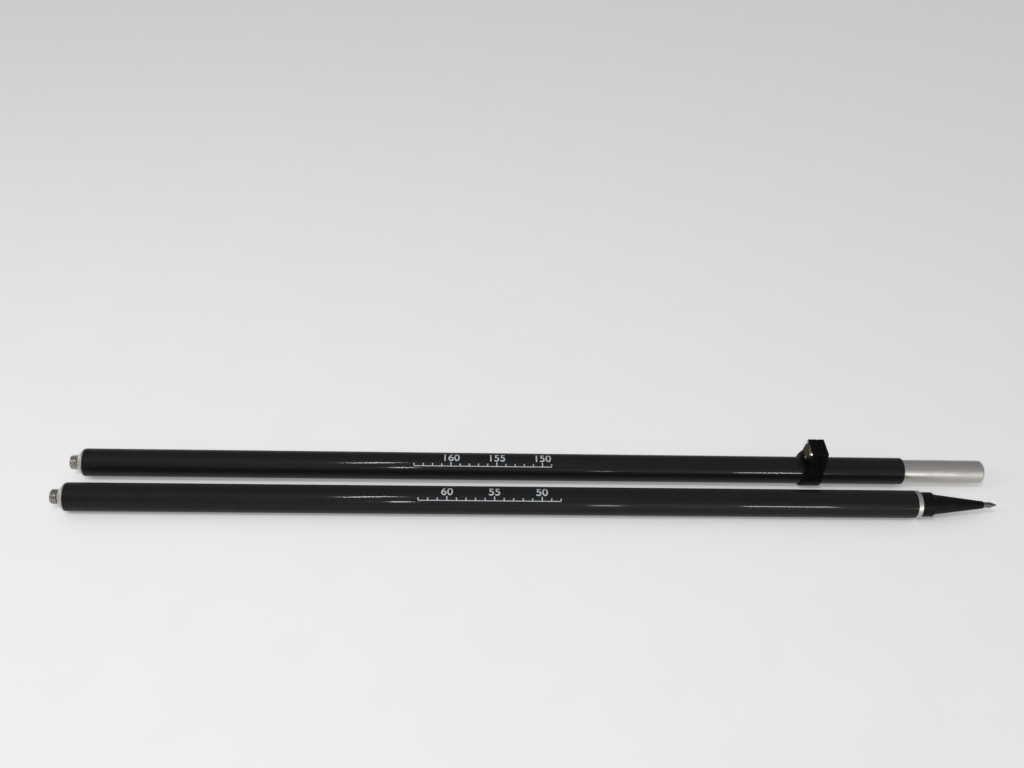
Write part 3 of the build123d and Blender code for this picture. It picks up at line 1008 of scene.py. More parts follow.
tip_shank_start, tip_end = span("point_tip")
point_start, tip_start = ring_end + FACE_GAP, cone_end + FACE_GAP
collar_end = point_start + COLLAR_LENGTH
tip_hole_start, tip_hole_r = tip_start - TIP_SHANK - TIP_SHANK_ROOM, TIP_SHANK_R + THREAD_GAP
cone_line = profile(
    (shank_start, 0), (shank_start, SHANK_R, SHANK_EDGE), (point_start, SHANK_R),
    (point_start, COLLAR_R, CONE_EDGE), (collar_end, COLLAR_R, CONE_EDGE),
    (collar_end + COLLAR_STEP, COLLAR_R - COLLAR_STEP, CONE_EDGE),
    (cone_end, TIP_R + CONE_END_LIP, CONE_END_EDGE), (cone_end, tip_hole_r),
    (tip_hole_start, tip_hole_r), (tip_hole_start, 0),
)
build("point_cone", [turned(cone_line, on_lower)], point_black, "point", "point_black", "point_body")

tip_line = profile(
    (tip_shank_start, 0), (tip_shank_start, TIP_SHANK_R), (tip_start, TIP_SHANK_R),
    (tip_start, TIP_R, TIP_EDGE), (tip_end - TIP_TAPER, TIP_R, TIP_SHOULDER_ROUND),
    (tip_end, TIP_BLUNT_R, TIP_EDGE), (tip_end, 0),
)
tip_grid = turned(tip_line, on_lower, TIP_COLUMNS)
build("point_tip_ground", [tip_grid], tip_steel, "tip", "tip_steel", "point_tip")
print("cone to", round(cone_end, 1), "and tip to", round(tip_end, 1))

# %% [markdown]
# ## The joint sleeve
#
# The upper section's lower end is an aluminium sleeve with a rounded end. The lower section's stud screws
# into its socket. The thread inside is the same helix as on the stud, cut into the wall instead of
# standing out.

# %% Sleeve
SLEEVE_ROUND = 3.0
SOCKET_R = mounts["joint_socket"]["dims"]["r_mm"]
SOCKET_DEPTH = 20.0
SOCKET_COUNTERSINK = 1.0
SOCKET_LIP = 0.1
SOCKET_THREAD_DEPTH = 0.5413 * THREAD_PITCH
SOCKET_FLOOR_R = SOCKET_R - SOCKET_THREAD_DEPTH - 0.5

sleeve_start, sleeve_end = span("joint_sleeve")
socket_end, thread_end = sleeve_end - SOCKET_DEPTH, sleeve_end - SOCKET_LIP
mouth_r = SOCKET_R + SOCKET_COUNTERSINK


def socket_radius(x, share):
    """The thread's radius, opened by the countersink at the mouth and drawn in at the floor."""
    radius = np.maximum(SOCKET_R - SOCKET_THREAD_DEPTH * share, mouth_r - (sleeve_end - x))
    return np.where(x <= socket_end, SOCKET_FLOOR_R, radius)


sleeve_outside = profile(
    (sleeve_start, 0), (sleeve_start, SPIGOT_R), (sleeve_end, SPIGOT_R, SLEEVE_ROUND), (sleeve_end, mouth_r),
    (thread_end, mouth_r - SOCKET_LIP),
)
socket_floor = profile((socket_end, SOCKET_FLOOR_R), (socket_end, 0))
sleeve_grids = [turned(line, on_upper, THREAD_COLUMNS) for line in (sleeve_outside, socket_floor)]
sleeve_grids.append(helix(socket_end, thread_end, socket_radius, on_upper))
sleeve_names = ("upper_section", "turned_aluminium", "joint_sleeve")
build("joint_sleeve_turned", sleeve_grids, aluminium, *sleeve_names)
print("sleeve ends at x", round(sleeve_end, 1))

# %% [markdown]
# ## Outlines seen from the middle
#
# The level's bracket and housing aren't round, but seen from an inner point each outline is met once in
# every direction. So they can be turned like the rest, with a radius that depends on the angle. A straight
# side is a distance divided by a cosine, and the corners between the sides are arcs.

# %% Reach of an outline
FACES_AWAY = 1e-6


def convex_reach(angle, sides, rounding, closed):
    """Distance from the middle to a convex outline with rounded corners, in each direction.

    A side whose outward normal points at n and that lies h from the middle is h / cos(angle - n) away, and
    the nearest side counts. A corner's arc has its centre c at h - rounding from both sides. Between its
    points of touch the distance is d.c + sqrt((d.c)^2 - c.c + rounding^2), with d the direction.
    """
    facing = np.cos(angle[:, None] - np.array([normal for normal, _ in sides]))
    away = np.array([distance for _, distance in sides]) / np.maximum(facing, FACES_AWAY)
    reach = np.where(facing > FACES_AWAY, away, np.inf).min(1)
    direction = np.stack([np.sin(angle), np.cos(angle)], -1)
    pairs = list(zip(sides, sides[1:]))
    if closed:
        pairs.append((sides[-1], sides[0]))
    for pair in pairs:
        normals = np.array([(math.sin(normal), math.cos(normal)) for normal, _ in pair])
        centre = np.linalg.solve(normals, [distance - rounding for _, distance in pair])
        first, last = (math.atan2(*(centre + rounding * normal)) for normal in normals)
        sweep = np.mod(last - first, TURN)
        inside = np.mod(angle - first, TURN) < sweep
        onto = direction @ centre
        arc = onto + np.sqrt(np.maximum(onto**2 - centre @ centre + rounding**2, 0))
        reach = np.where(inside, arc, reach)
    return reach


# %% Surfaces from outlines


def shaped(rows, angle, middle_z, ring_rows=False):
    """A grid from (x, reach in each direction, edge mark) rows about a line along X at height middle_z.

    The angle runs from the top towards +Y. A row may end with directions of its own, where its corners
    don't stand in the common ones.
    """
    x = np.array([row[0] for row in rows])
    reach = np.array([np.broadcast_to(row[1], angle.shape) for row in rows])
    edge = np.array([row[2] for row in rows])
    way = np.array([row[3] if len(row) > 3 else angle for row in rows])
    points = about_x(x[:, None], reach, -way) + np.array((0, 0, middle_z))
    return patch(on_level(points), edge=edge, ring_rows=ring_rows)


def rounds(corner_x, reach, radius, inwards, floor=0.0):
    """Rows of a rounded edge between a face across X and the side: q runs from the face, 0, to the side, 90.

    x = corner + inwards radius (1 - cos q) and reach = reach - radius (1 - sin q), never under the floor.
    At a front face inwards is 1. At a back face it is -1, and the rows come in the opposite order.
    """
    rows = []
    for q in np.linspace(0, math.pi / 2, ARC_POINTS)[::inwards]:
        lowered = np.maximum(reach - radius * (1 - math.sin(q)), floor)
        rows.append((corner_x + inwards * radius * (1 - math.cos(q)), lowered, 1.0))
    return rows


# %% [markdown]
# ## The clamp bracket
#
# A black bracket slides on the upper tube. Below it is a band round the tube; above, flanks that touch the
# band lead up to an arm, and in front of the arm a shelf slopes down to the band. All of that is one
# outline, swept along X: the flat top of the outline rises from the shelf to the top of the arm. The set
# screw's hole is the only cut that is made with a Boolean.

# %% Sizes of the level
BAND_R = UPPER_AXIS[2]
ARM_THICKNESS = 6.9
SCREW_TO_FLANK = 2.6

band_low, band_high = level_box("clamp_bracket")
housing_low, housing_high = level_box("level_housing")
band_front, band_back, arm_top = band_low[0], band_high[0], band_high[2]
arm_front = band_back - ARM_THICKNESS
housing_front, housing_back = housing_low[0], housing_high[0]
screw_boxes = {
    name: level_box("adjusting_screw_" + name) for name in ("bottom", "top_near", "top_far")
}
screw_middles = {name: (low + high) / 2 for name, (low, high) in screw_boxes.items()}
arm_half = screw_middles["top_far"][1] + SCREW_TO_FLANK
flank_slope = math.atan2(arm_top, arm_half) - math.acos(BAND_R / math.hypot(arm_half, arm_top))
flank_normal = math.pi / 2 - flank_slope
print("arm", round(2 * arm_half, 2), "mm wide at its top, flanks at", round(math.degrees(flank_slope), 2))

# %% Outline of the bracket
FLARE_HEIGHT = 9.0
SHELF_CORNER = 0.5
FINE_TO, FINE_STEP, COARSE_STEP = 66, 0.6, 3.0
bracket_angle = np.radians(np.concatenate([
    np.arange(-180, -FINE_TO, COARSE_STEP), np.arange(-FINE_TO, FINE_TO, FINE_STEP),
    np.arange(FINE_TO, 180, COARSE_STEP),
]))


def bracket_reach(top, rounding, angle=bracket_angle):
    """The flanks, cut off flat at height top. Past the points of touch, or if that is further, the band."""
    sides = [(-flank_normal, BAND_R), (0.0, top), (flank_normal, BAND_R)]
    block = convex_reach(angle, sides, rounding, closed=False)
    return np.where(np.abs(angle) < flank_normal, np.maximum(block, BAND_R), BAND_R)


def corner_ways(top):
    """Directions from below round to below: points of touch, and corners of the flat at height top."""
    corner = math.atan2((BAND_R - top * math.sin(flank_slope)) / math.cos(flank_slope), top)
    return -math.pi, -flank_normal, -corner, corner, flank_normal, math.pi


def flare(x, lower=0.0, mark=0.0):
    """A row of the shelf's sloping front, whose top rises evenly from the band's front to the housing's.

    The directions are stretched between the middle and the points of touch, so that they follow the corner.
    """
    rise = np.clip((x - band_front) / (housing_front - band_front), 0, 1)
    top = BAND_R - FLARE_HEIGHT * (1 - rise)
    angle = np.interp(bracket_angle, corner_ways(BAND_R), corner_ways(top))
    return x, bracket_reach(top, SHELF_CORNER, angle) - lower, mark, angle


print(len(bracket_angle), "directions round the bracket")

# %% Bracket
BAND_BORE_R = 15.8
BAND_EDGE = 0.5
BORE_EDGE = 0.3
FLARE_ROWS = 16
SHELF_MARK = 0.6
ARM_CORNER = 1.2
ARM_EDGE = 0.5
ARM_FILLET = 0.4
FILLET_ROWS = 4


def bracket_rows():
    """Bore, front face, flare, shelf, arm and back face, in the order of a walk round the section."""
    shelf, arm = bracket_reach(BAND_R, SHELF_CORNER), bracket_reach(arm_top, ARM_CORNER)
    band_margin, arm_margin = BAND_EDGE + CORNER_SUPPORT, ARM_EDGE + CORNER_SUPPORT
    rows = [
        (band_back - BORE_EDGE, BAND_BORE_R, 0.0), (band_front + BORE_EDGE, BAND_BORE_R, 0.0),
        (band_front, BAND_BORE_R + BORE_EDGE, 0.0), flare(band_front, band_margin),
    ]
    for x, reach, mark in rounds(band_front, 0.0, BAND_EDGE, 1, floor=-BAND_EDGE):
        rows.append(flare(x, -reach, mark))
    slope = np.linspace(band_front + band_margin, housing_front - CORNER_SUPPORT, FLARE_ROWS)
    rows += [flare(x) for x in slope]
    rows += [(housing_front, shelf, SHELF_MARK), (housing_front + CORNER_SUPPORT, shelf, 0.0)]
    rows += [(arm_front - ARM_FILLET - CORNER_SUPPORT, shelf, 0.0)]
    for q in np.linspace(0, math.pi / 2, FILLET_ROWS):
        lifted = np.minimum(shelf + ARM_FILLET * (1 - math.cos(q)), arm)
        rows.append((arm_front - ARM_FILLET * (1 - math.sin(q)), lifted, 0.0))
    foot = np.minimum(shelf + ARM_FILLET, arm)
    rows += [(arm_front, np.maximum(arm - arm_margin, foot), 0.0)]
    rows += rounds(arm_front, arm, ARM_EDGE, 1, floor=foot)
    rows += [(arm_front + arm_margin, arm, 0.0), (band_back - arm_margin, arm, 0.0)]
    rows += rounds(band_back, arm, ARM_EDGE, -1)
    rows += [(band_back, arm - arm_margin, 0.0), (band_back, BAND_BORE_R + BORE_EDGE, 0.0)]
    return rows


bracket_grid = shaped(bracket_rows(), bracket_angle, 0.0, ring_rows=True)
bracket_names = ("bracket", "bracket_black", "clamp_bracket")
bracket = build("clamp_bracket_body", [bracket_grid], bracket_black, *bracket_names)

# %% [markdown]
# ## The set screw and its hole
#
# A short screw with a hexagonal socket, in the flank that faces away, presses on the liner and stops the
# bracket from sliding. A hexagon is also an outline seen from its middle, so the socket is rows of a
# turned surface that change from a circle to a hexagon and back to a point.

# %% Set screw
SET_SCREW_ANGLE = math.radians(50)
SET_SCREW_R = 2.5
SET_SCREW_LENGTH = 3.9
SET_SCREW_START = 15.9
SET_SCREW_CHAMFER = 0.5
SET_SCREW_EDGE = 0.3
SET_SCREW_COLUMNS = 72
HEX_HALF = 1.25
HEX_DEPTH = 2.0
HEX_SIDES = 6
HEX_CHAMFER = 0.15
HEX_RIM = 0.6
DRILL_R, DRILL_SIDE, DRILL_POINT = 0.4, 0.3, 0.5


def on_set_screw(points):
    """X runs outwards from the tube's axis, leaning from the arm towards +Y; Y lies along the tube."""
    out, along, across = np.moveaxis(points, -1, 0)
    return on_level(np.stack([along, *rotated(across, out, -SET_SCREW_ANGLE)], -1))


hex_step = TURN / HEX_SIDES
hex_angle = np.mod(column_angles(SET_SCREW_COLUMNS), hex_step) - hex_step / 2
hex_reach = (HEX_HALF / np.cos(hex_angle))[None, :]
set_top = SET_SCREW_START + SET_SCREW_LENGTH
hex_floor = set_top - HEX_DEPTH
set_outside = profile(
    (SET_SCREW_START, 0), (SET_SCREW_START, SET_SCREW_R - SET_SCREW_CHAMFER),
    (SET_SCREW_START + SET_SCREW_CHAMFER, SET_SCREW_R), (set_top, SET_SCREW_R, SET_SCREW_EDGE),
    (set_top, HEX_HALF + HEX_RIM),
)
set_socket_x = np.array([set_top, set_top - HEX_CHAMFER, hex_floor])
set_socket = (set_socket_x, np.concatenate([hex_reach + HEX_CHAMFER, hex_reach, hex_reach]), np.zeros(3))
set_point = profile((hex_floor - DRILL_SIDE, DRILL_R), (hex_floor - DRILL_POINT, 0))
set_grid = turned(joined(set_outside, set_socket, set_point), on_set_screw, SET_SCREW_COLUMNS)
build("clamp_screw_socket", [set_grid], stud_metal, "set_screw", "screw_steel", "clamp_screw")

# %% Hole for the set screw
HOLE_MARGIN = 2.0


def worked_out(thing):
    """The mesh that an object has once its modifiers or its letters are worked out."""
    graph = bpy.context.evaluated_depsgraph_get()
    return bpy.data.meshes.new_from_object(thing.evaluated_get(graph))


def drill(piece, cutter_mesh):
    """Takes the inside of another mesh away from a piece, and keeps the result as the piece's own mesh."""
    cutter = in_scene("cutter", cutter_mesh)
    hole = piece.modifiers.new("hole", "BOOLEAN")
    hole.operation = "DIFFERENCE"
    hole.solver = "EXACT"
    hole.object = cutter
    drilled = worked_out(piece)
    piece.modifiers.clear()
    bpy.data.objects.remove(cutter)
    whole, piece.data = piece.data, drilled
    bpy.data.meshes.remove(whole)
    drilled.name = piece.name
    weld(drilled)


hole_r = SET_SCREW_R + THREAD_GAP
hole_start, hole_end = BAND_BORE_R - HOLE_MARGIN, 2 * BAND_R
hole_line = profile((hole_start, 0), (hole_start, hole_r), (hole_end, hole_r), (hole_end, 0))
drill(bracket, mesh_of("set_screw_hole", [turned(hole_line, on_set_screw, SET_SCREW_COLUMNS)]))
print("bracket materials:", [made.name for made in bracket.data.materials])

# %% [markdown]
# ## The split liner
#
# A thin nylon liner sits between the band and the tube, so that the clamp doesn't bite the clear coat. It
# has a lip on either side of the band and a slit below. Its section has an outer and an inner line with
# the same stations, and the two ends at the slit are closed by a ladder between those lines.

# %% Liner
LINER_BORE_R = 15.05
LINER_R = 15.75
LINER_LIP_R = 16.75
LINER_LIP_EDGE = 0.2
LINER_LIP_WIDTH = 1.0
LINER_HALF = band_back + 0.1
LINER_SLIT = 1.5
LINER_COLUMNS = 121

slit_half = math.asin(LINER_SLIT / 2 / LINER_BORE_R)
liner_angle = np.linspace(-math.pi + slit_half, math.pi - slit_half, LINER_COLUMNS)
liner_end = LINER_HALF + LINER_LIP_WIDTH
half_x = np.array([liner_end, liner_end - LINER_LIP_EDGE, LINER_HALF, LINER_HALF])
half_out = np.array([LINER_LIP_R - LINER_LIP_EDGE, LINER_LIP_R, LINER_LIP_R, LINER_R])
liner_x = np.concatenate([-half_x, [0], half_x[::-1]])
liner_out = np.concatenate([half_out, [LINER_R], half_out[::-1]])


def liner_strip(radius):
    """One line of the liner's section, carried round from one end of the slit to the other."""
    return on_level(about_x(liner_x[:, None], np.reshape(radius, (-1, 1)), -liner_angle))


liner_outside, liner_inside = liner_strip(liner_out), liner_strip(LINER_BORE_R)
liner_walls = np.concatenate([liner_outside, liner_inside[::-1]])
liner_grids = [patch(liner_walls, ring_rows=True, ring_columns=False)]
for end in (0, -1):
    ladder = np.stack([liner_outside[:, end], liner_inside[:, end]], 1)
    liner_grids.append(patch(ladder, ring_columns=False))
build("clamp_liner_split", liner_grids, liner_nylon, "liner", "liner_nylon", "clamp_liner")

# %% [markdown]
# ## The level's housing
#
# In front of the arm, with a narrow seam between them, hangs the block that holds the vial. It has the
# arm's outline, rounded all round, so it is the same kind of surface, seen from the vial's axis.

# %% Housing
CUP_R = 7.5
CUP_GAP = 0.1
CUP_HOLE_R = CUP_R + CUP_GAP
CUP_HOLE_EDGE = 0.2
HOUSING_CORNER = 1.2
HOUSING_EDGE = 0.5
HOUSING_BACK_EDGE = 0.3
HOUSING_COLUMNS = 360

cup_low, cup_high = level_box("vial_cup")
cup_rim, cup_back = cup_low[0], cup_high[0]
vial_z = (cup_low[2] + cup_high[2]) / 2
flank_away = BAND_R - vial_z * math.sin(flank_slope)
housing_sides = [
    (0.0, arm_top - vial_z), (flank_normal, flank_away),
    (math.pi, vial_z - housing_low[2]), (-flank_normal, flank_away),
]
housing_angle = column_angles(HOUSING_COLUMNS)
housing_reach = convex_reach(housing_angle, housing_sides, HOUSING_CORNER, closed=True)
front_margin, back_margin = HOUSING_EDGE + CORNER_SUPPORT, HOUSING_BACK_EDGE + CORNER_SUPPORT
housing_rows = [
    (cup_back + CUP_GAP, 0.0, 0.0), (cup_back + CUP_GAP, CUP_HOLE_R, 0.0),
    (housing_front + CUP_HOLE_EDGE, CUP_HOLE_R, 0.0), (housing_front, CUP_HOLE_R + CUP_HOLE_EDGE, 1.0),
    (housing_front, CUP_HOLE_R + 2 * CUP_HOLE_EDGE, 0.0), (housing_front, housing_reach - front_margin, 0.0),
    *rounds(housing_front, housing_reach, HOUSING_EDGE, 1),
    (housing_front + front_margin, housing_reach, 0.0), (housing_back - back_margin, housing_reach, 0.0),
    *rounds(housing_back, housing_reach, HOUSING_BACK_EDGE, -1),
    (housing_back, housing_reach - back_margin, 0.0), (housing_back, 0.0, 0.0),
]
housing_grid = shaped(housing_rows, housing_angle, vial_z)
build("level_housing_block", [housing_grid], bracket_black, "level", "bracket_black", "level_housing")
print("vial axis", round(vial_z, 2), "mm above the tube's axis")

# %% [markdown]
# ## Washers and adjusting screws
#
# Three slotted screws go through the housing into the arm, with a rubber washer round each in the seam.
# Turning one tips the housing and so trims the level. A slotted head isn't a turned part any more, so it
# is cut into chords along its slot: each chord is a small upright loop, lower where the slot runs.

# %% Adjusting screws
SCREW_R = 1.25
SCREW_END_EDGE = 0.3
SCREW_NECK = 0.3
SCREW_COLUMNS = 32
SCREW_HEAD_EDGE = 0.3
SCREW_HEAD_CHORDS = 14
SCREW_HEAD_MARK = 0.4
SCREW_SLOT_HALF = 0.35
SCREW_SLOT_DEPTH = 0.8
SLOT_TURNS = {"bottom": 0.35, "top_near": -0.9, "top_far": 1.2}


def at_middle(name):
    """Puts a shape about X onto a screw's axis in the level's frame."""
    middle = screw_middles[name] * (0, 1, 1)
    return lambda points: on_level(points + middle)


def slotted_head(name):
    """Chords of the head at t = R sin(phi), each half sqrt(R^2 - t^2) long, as loops up and down again."""
    low, high = screw_boxes[name]
    top, seat = low[0], housing_front - FACE_GAP
    head_r = (high[1] - low[1]) / 2
    half_slot = math.asin(SCREW_SLOT_HALF / head_r)
    outer = np.sin(np.linspace(half_slot, math.pi / 2, SCREW_HEAD_CHORDS)) * head_r
    offset = np.concatenate([-outer[::-1], [-SCREW_SLOT_HALF, 0, SCREW_SLOT_HALF], outer])
    depth = np.concatenate([0 * outer, np.full(3, SCREW_SLOT_DEPTH), 0 * outer])
    full = np.sqrt(np.maximum(head_r**2 - offset**2, 0))
    narrow = np.sqrt(np.maximum((head_r - SCREW_HEAD_EDGE) ** 2 - offset**2, 0))
    upper = np.where(depth > 0, full, narrow)
    roof = top + depth
    brow = np.maximum(top + SCREW_HEAD_EDGE, roof)
    x = np.stack([0 * offset + seat, brow, roof, roof, brow, 0 * offset + seat], -1)
    along = np.stack([-full, -full, -upper, upper, full, full], -1)
    points = np.stack([x, *rotated(offset[:, None], along, SLOT_TURNS[name])], -1)
    return patch(at_middle(name)(points), edge=np.where(depth > 0, 0.0, SCREW_HEAD_MARK))


for name, (_, high) in screw_boxes.items():
    neck, end = housing_front - SCREW_NECK, high[0]
    shank = profile((neck, 0), (neck, SCREW_R), (end, SCREW_R, SCREW_END_EDGE), (end, 0))
    grids = [slotted_head(name), turned(shank, at_middle(name), SCREW_COLUMNS)]
    node = "adjusting_screw_" + name
    build(node + "_slotted", grids, screw_steel, name + "_screw", "screw_steel", node)

# %% Washers
WASHER_BORE_R = 1.5
WASHER_R = 2.3
WASHER_EDGE = 0.1
WASHER_COLUMNS = 40

washer_front = level_box("level_washers")[0][0]
washer_line = profile(
    (arm_front, WASHER_BORE_R), (washer_front, WASHER_BORE_R), (washer_front, WASHER_R, WASHER_EDGE),
    (arm_front, WASHER_R, WASHER_EDGE), ring=True,
)
washers = [turned(washer_line, at_middle(name), WASHER_COLUMNS, ring=True) for name in screw_boxes]
build("level_washer_rings", washers, rubber, "bracket", "rubber", "level_washers")

# %% [markdown]
# ## The circular vial
#
# A dark cup holds the spirit under a window that is hollowed from below, and a gasket seals them. A
# yellow film round the window hides the cup's wall, so the whole window has the colour of the spirit. The
# bubble lies where the spirit leaves room, at the top while the pole lies down. A dark ring on the window
# marks where the bubble stands when the pole is upright.

# %% Cup and window
CUP_BORE_R = CUP_R - 1.1
CUP_LIP_EDGE, CUP_EDGE, CUP_BACK_EDGE = 0.15, 0.3, 0.2
LENS_R = CUP_BORE_R - 0.1
LENS_EDGE, LENS_BACK_EDGE = 0.25, 0.1
SEAL_BORE_R = LENS_R - 0.9
HOLLOW_SPHERE_R = 40.0
HOLLOW_RIM = 0.05
HOLLOW_ROWS = 9


def on_vial(points):
    """A shape about X, moved up to the vial's axis."""
    return on_level(points + np.array((0, 0, vial_z)))


lens_front, lens_back = (corner[0] for corner in level_box("vial_lens"))
pool_back = level_box("vial_fluid")[1][0]
cup_line = profile(
    (pool_back, 0), (pool_back, CUP_BORE_R), (cup_rim, CUP_BORE_R, CUP_LIP_EDGE), (cup_rim, CUP_R, CUP_EDGE),
    (cup_back, CUP_R, CUP_BACK_EDGE), (cup_back, 0),
)
build("vial_cup_turned", [turned(cup_line, on_vial)], vial_metal, "level", "vial_metal", "vial_cup")

hollow_r = np.linspace(SEAL_BORE_R, 0, HOLLOW_ROWS)
hollow_depth = np.sqrt(HOLLOW_SPHERE_R**2 - hollow_r**2) - math.sqrt(HOLLOW_SPHERE_R**2 - SEAL_BORE_R**2)
lens_outside = profile(
    (lens_front, 0), (lens_front, LENS_R, LENS_EDGE), (lens_back, LENS_R, LENS_BACK_EDGE),
    (lens_back, SEAL_BORE_R + HOLLOW_RIM),
)
lens_line = joined(lens_outside, (lens_back - hollow_depth, hollow_r, np.zeros(HOLLOW_ROWS)))
build("vial_lens_clear", [turned(lens_line, on_vial)], vial_window, "level", "vial_window", "vial_lens")

# %% Film, gasket and spirit
FILM_STEP = 0.3
FILM_GAP = 0.03
SPIRIT_GAP = 0.05
SPIRIT_EDGE = 0.1

film_front, film_in, film_out = lens_front + FILM_STEP, LENS_R + FILM_GAP, CUP_BORE_R - FILM_GAP
film_line = profile(
    (film_front, film_in), (film_front, film_out), (lens_back, film_out), (lens_back, film_in), ring=True
)
build("vial_yellow_film", [turned(film_line, on_vial, ring=True)], vial_spirit, "level", None)

seal_back = level_box("vial_seal")[1][0]
seal_line = profile(
    (lens_back, SEAL_BORE_R), (lens_back, LENS_R), (seal_back, LENS_R), (seal_back, SEAL_BORE_R), ring=True
)
build("vial_seal_ring", [turned(seal_line, on_vial, ring=True)], rubber, "level", "rubber", "vial_seal")

pool_start, pool_step, pool_end = lens_back + SPIRIT_GAP, seal_back + SPIRIT_GAP, pool_back - SPIRIT_GAP
pool_neck_r, pool_r = SEAL_BORE_R - SPIRIT_GAP, LENS_R - SPIRIT_GAP
pool_line = profile(
    (pool_start, 0), (pool_start, pool_neck_r, SPIRIT_EDGE), (pool_step, pool_neck_r), (pool_step, pool_r),
    (pool_end, pool_r), (pool_end, 0),
)
build("vial_spirit_pool", [turned(pool_line, on_vial)], vial_spirit, "level", "vial_liquid", "vial_fluid")

# %% Bubble and centring ring
BUBBLE_R = 2.1
BUBBLE_HALF_DEPTH = 0.6
BUBBLE_SUNK = 0.8
BUBBLE_ROOM = 0.15
BUBBLE_ROWS, BUBBLE_COLUMNS = 17, 48
CENTRE_RING_R = 2.7
CENTRE_RING_WIDTH = 0.3
CENTRE_RING_INK = 0.03
CENTRE_RING_COLUMNS = 64

bubble_up = SEAL_BORE_R - BUBBLE_R - BUBBLE_ROOM
polar = np.linspace(0, math.pi, BUBBLE_ROWS)
bubble_x = lens_back + BUBBLE_HALF_DEPTH * (BUBBLE_SUNK - np.cos(polar))
bubble_line = (bubble_x, BUBBLE_R * np.sin(polar), np.zeros(BUBBLE_ROWS))


def on_bubble(points):
    """A shape about X, moved up from the vial's axis to the bubble."""
    return on_vial(points + np.array((0, 0, bubble_up)))


bubble_grid = turned(bubble_line, on_bubble, BUBBLE_COLUMNS)
build("vial_bubble", [bubble_grid], vial_air, "level", "vial_liquid")

ring_in, ring_out = CENTRE_RING_R - CENTRE_RING_WIDTH / 2, CENTRE_RING_R + CENTRE_RING_WIDTH / 2
ink_front = lens_front - CENTRE_RING_INK
ring_mark = profile(
    (lens_front, ring_in), (ink_front, ring_in), (ink_front, ring_out), (lens_front, ring_out), ring=True
)
mark_grid = turned(ring_mark, on_vial, CENTRE_RING_COLUMNS, ring=True)
build("vial_centre_ring", [mark_grid], rubber, "level", None)
print("bubble stands", round(bubble_up, 2), "mm above the vial's axis")

# %% [markdown]
# ## Height marks
#
# Both tubes carry pale marks where they face the user: a line, a short mark for each centimetre and a long
# one with a plain number every fifth. They count the height over the tip when the pole stands joined. A
# stencil in the material would do, but thin ink as geometry keeps its crisp edge in a close view. Marks
# and numbers are laid out flat, cut into narrow strips and then wrapped: x stays, and the way up becomes
# an angle.

# %% Ink round a tube
INK_LOW, INK_HIGH = 0.005, 0.035
INK_MIDDLE = (INK_LOW + INK_HIGH) / 2
MARKS_AT = math.radians(20)
MARK_STRIP = 0.7


def wrapped(along, up, height):
    """Flat ink on a tube: x = along, angle = middle - up / radius, radius = tube + height."""
    return about_x(along, TUBE_R + height, MARKS_AT - up / TUBE_R)


def ink_bar(left, right, low, high, place):
    """A thin upright bar: a rectangle in x and height, carried up in strips, both ends drawn to a point."""
    up = np.linspace(low, high, max(2, round((high - low) / MARK_STRIP)))
    up = np.concatenate([up[:1], up, up[-1:]])[None, :]
    along = np.repeat(np.array([[left], [right], [right], [left]]), up.shape[1], 1)
    height = np.repeat(np.array([[INK_LOW], [INK_LOW], [INK_HIGH], [INK_HIGH]]), up.shape[1], 1)
    along[:, [0, -1]] = (left + right) / 2
    height[:, [0, -1]] = INK_MIDDLE
    return patch(place(wrapped(along, up, height)), ring_rows=True, ring_columns=False)


print("the marks lie", round(TUBE_R * MARKS_AT, 1), "mm round from the top of a tube")

# %% Numbers
NUMBER_SIZE = 13.0
NUMBER_BOLD = 0.12


def ink_number(text, middle, low, place):
    """A number as a thin solid, cut into strips across its height and wrapped round the tube."""
    letters = bpy.data.curves.new("number", "FONT")
    letters.body = text
    letters.size = NUMBER_SIZE
    letters.offset = NUMBER_BOLD
    letters.extrude = (INK_HIGH - INK_LOW) / 2
    letters.align_x = "CENTER"
    flat = in_scene("number", letters)
    mesh = worked_out(flat)
    bpy.data.objects.remove(flat)
    shape = bmesh.new()
    shape.from_mesh(mesh)
    for cut in np.arange(0, NUMBER_SIZE, MARK_STRIP):
        everything = shape.verts[:] + shape.edges[:] + shape.faces[:]
        bmesh.ops.bisect_plane(shape, geom=everything, plane_co=(0, cut, 0), plane_no=(0, 1, 0))
    shape.to_mesh(mesh)
    shape.free()
    along, up, height = point_places(mesh).T
    points = place(wrapped(middle + along, low + up, height + INK_MIDDLE))
    mesh.vertices.foreach_set("co", points.ravel())
    return mesh


# %% Marks on both tubes
MARK_BOTTOM = -8.0
SHORT_MARK, LONG_MARK = 3.4, 5.0
MARK_HALF, LINE_HEIGHT = 0.5, 0.8
NUMBER_GAP = 1.2
CENTIMETRE = 10.0
NUMBER_EVERY = 5
LOWER_MARKS, UPPER_MARKS = (48, 63), (149, 164)
SECTION_LENGTH = tip_end - span("lower_end_plug")[0]


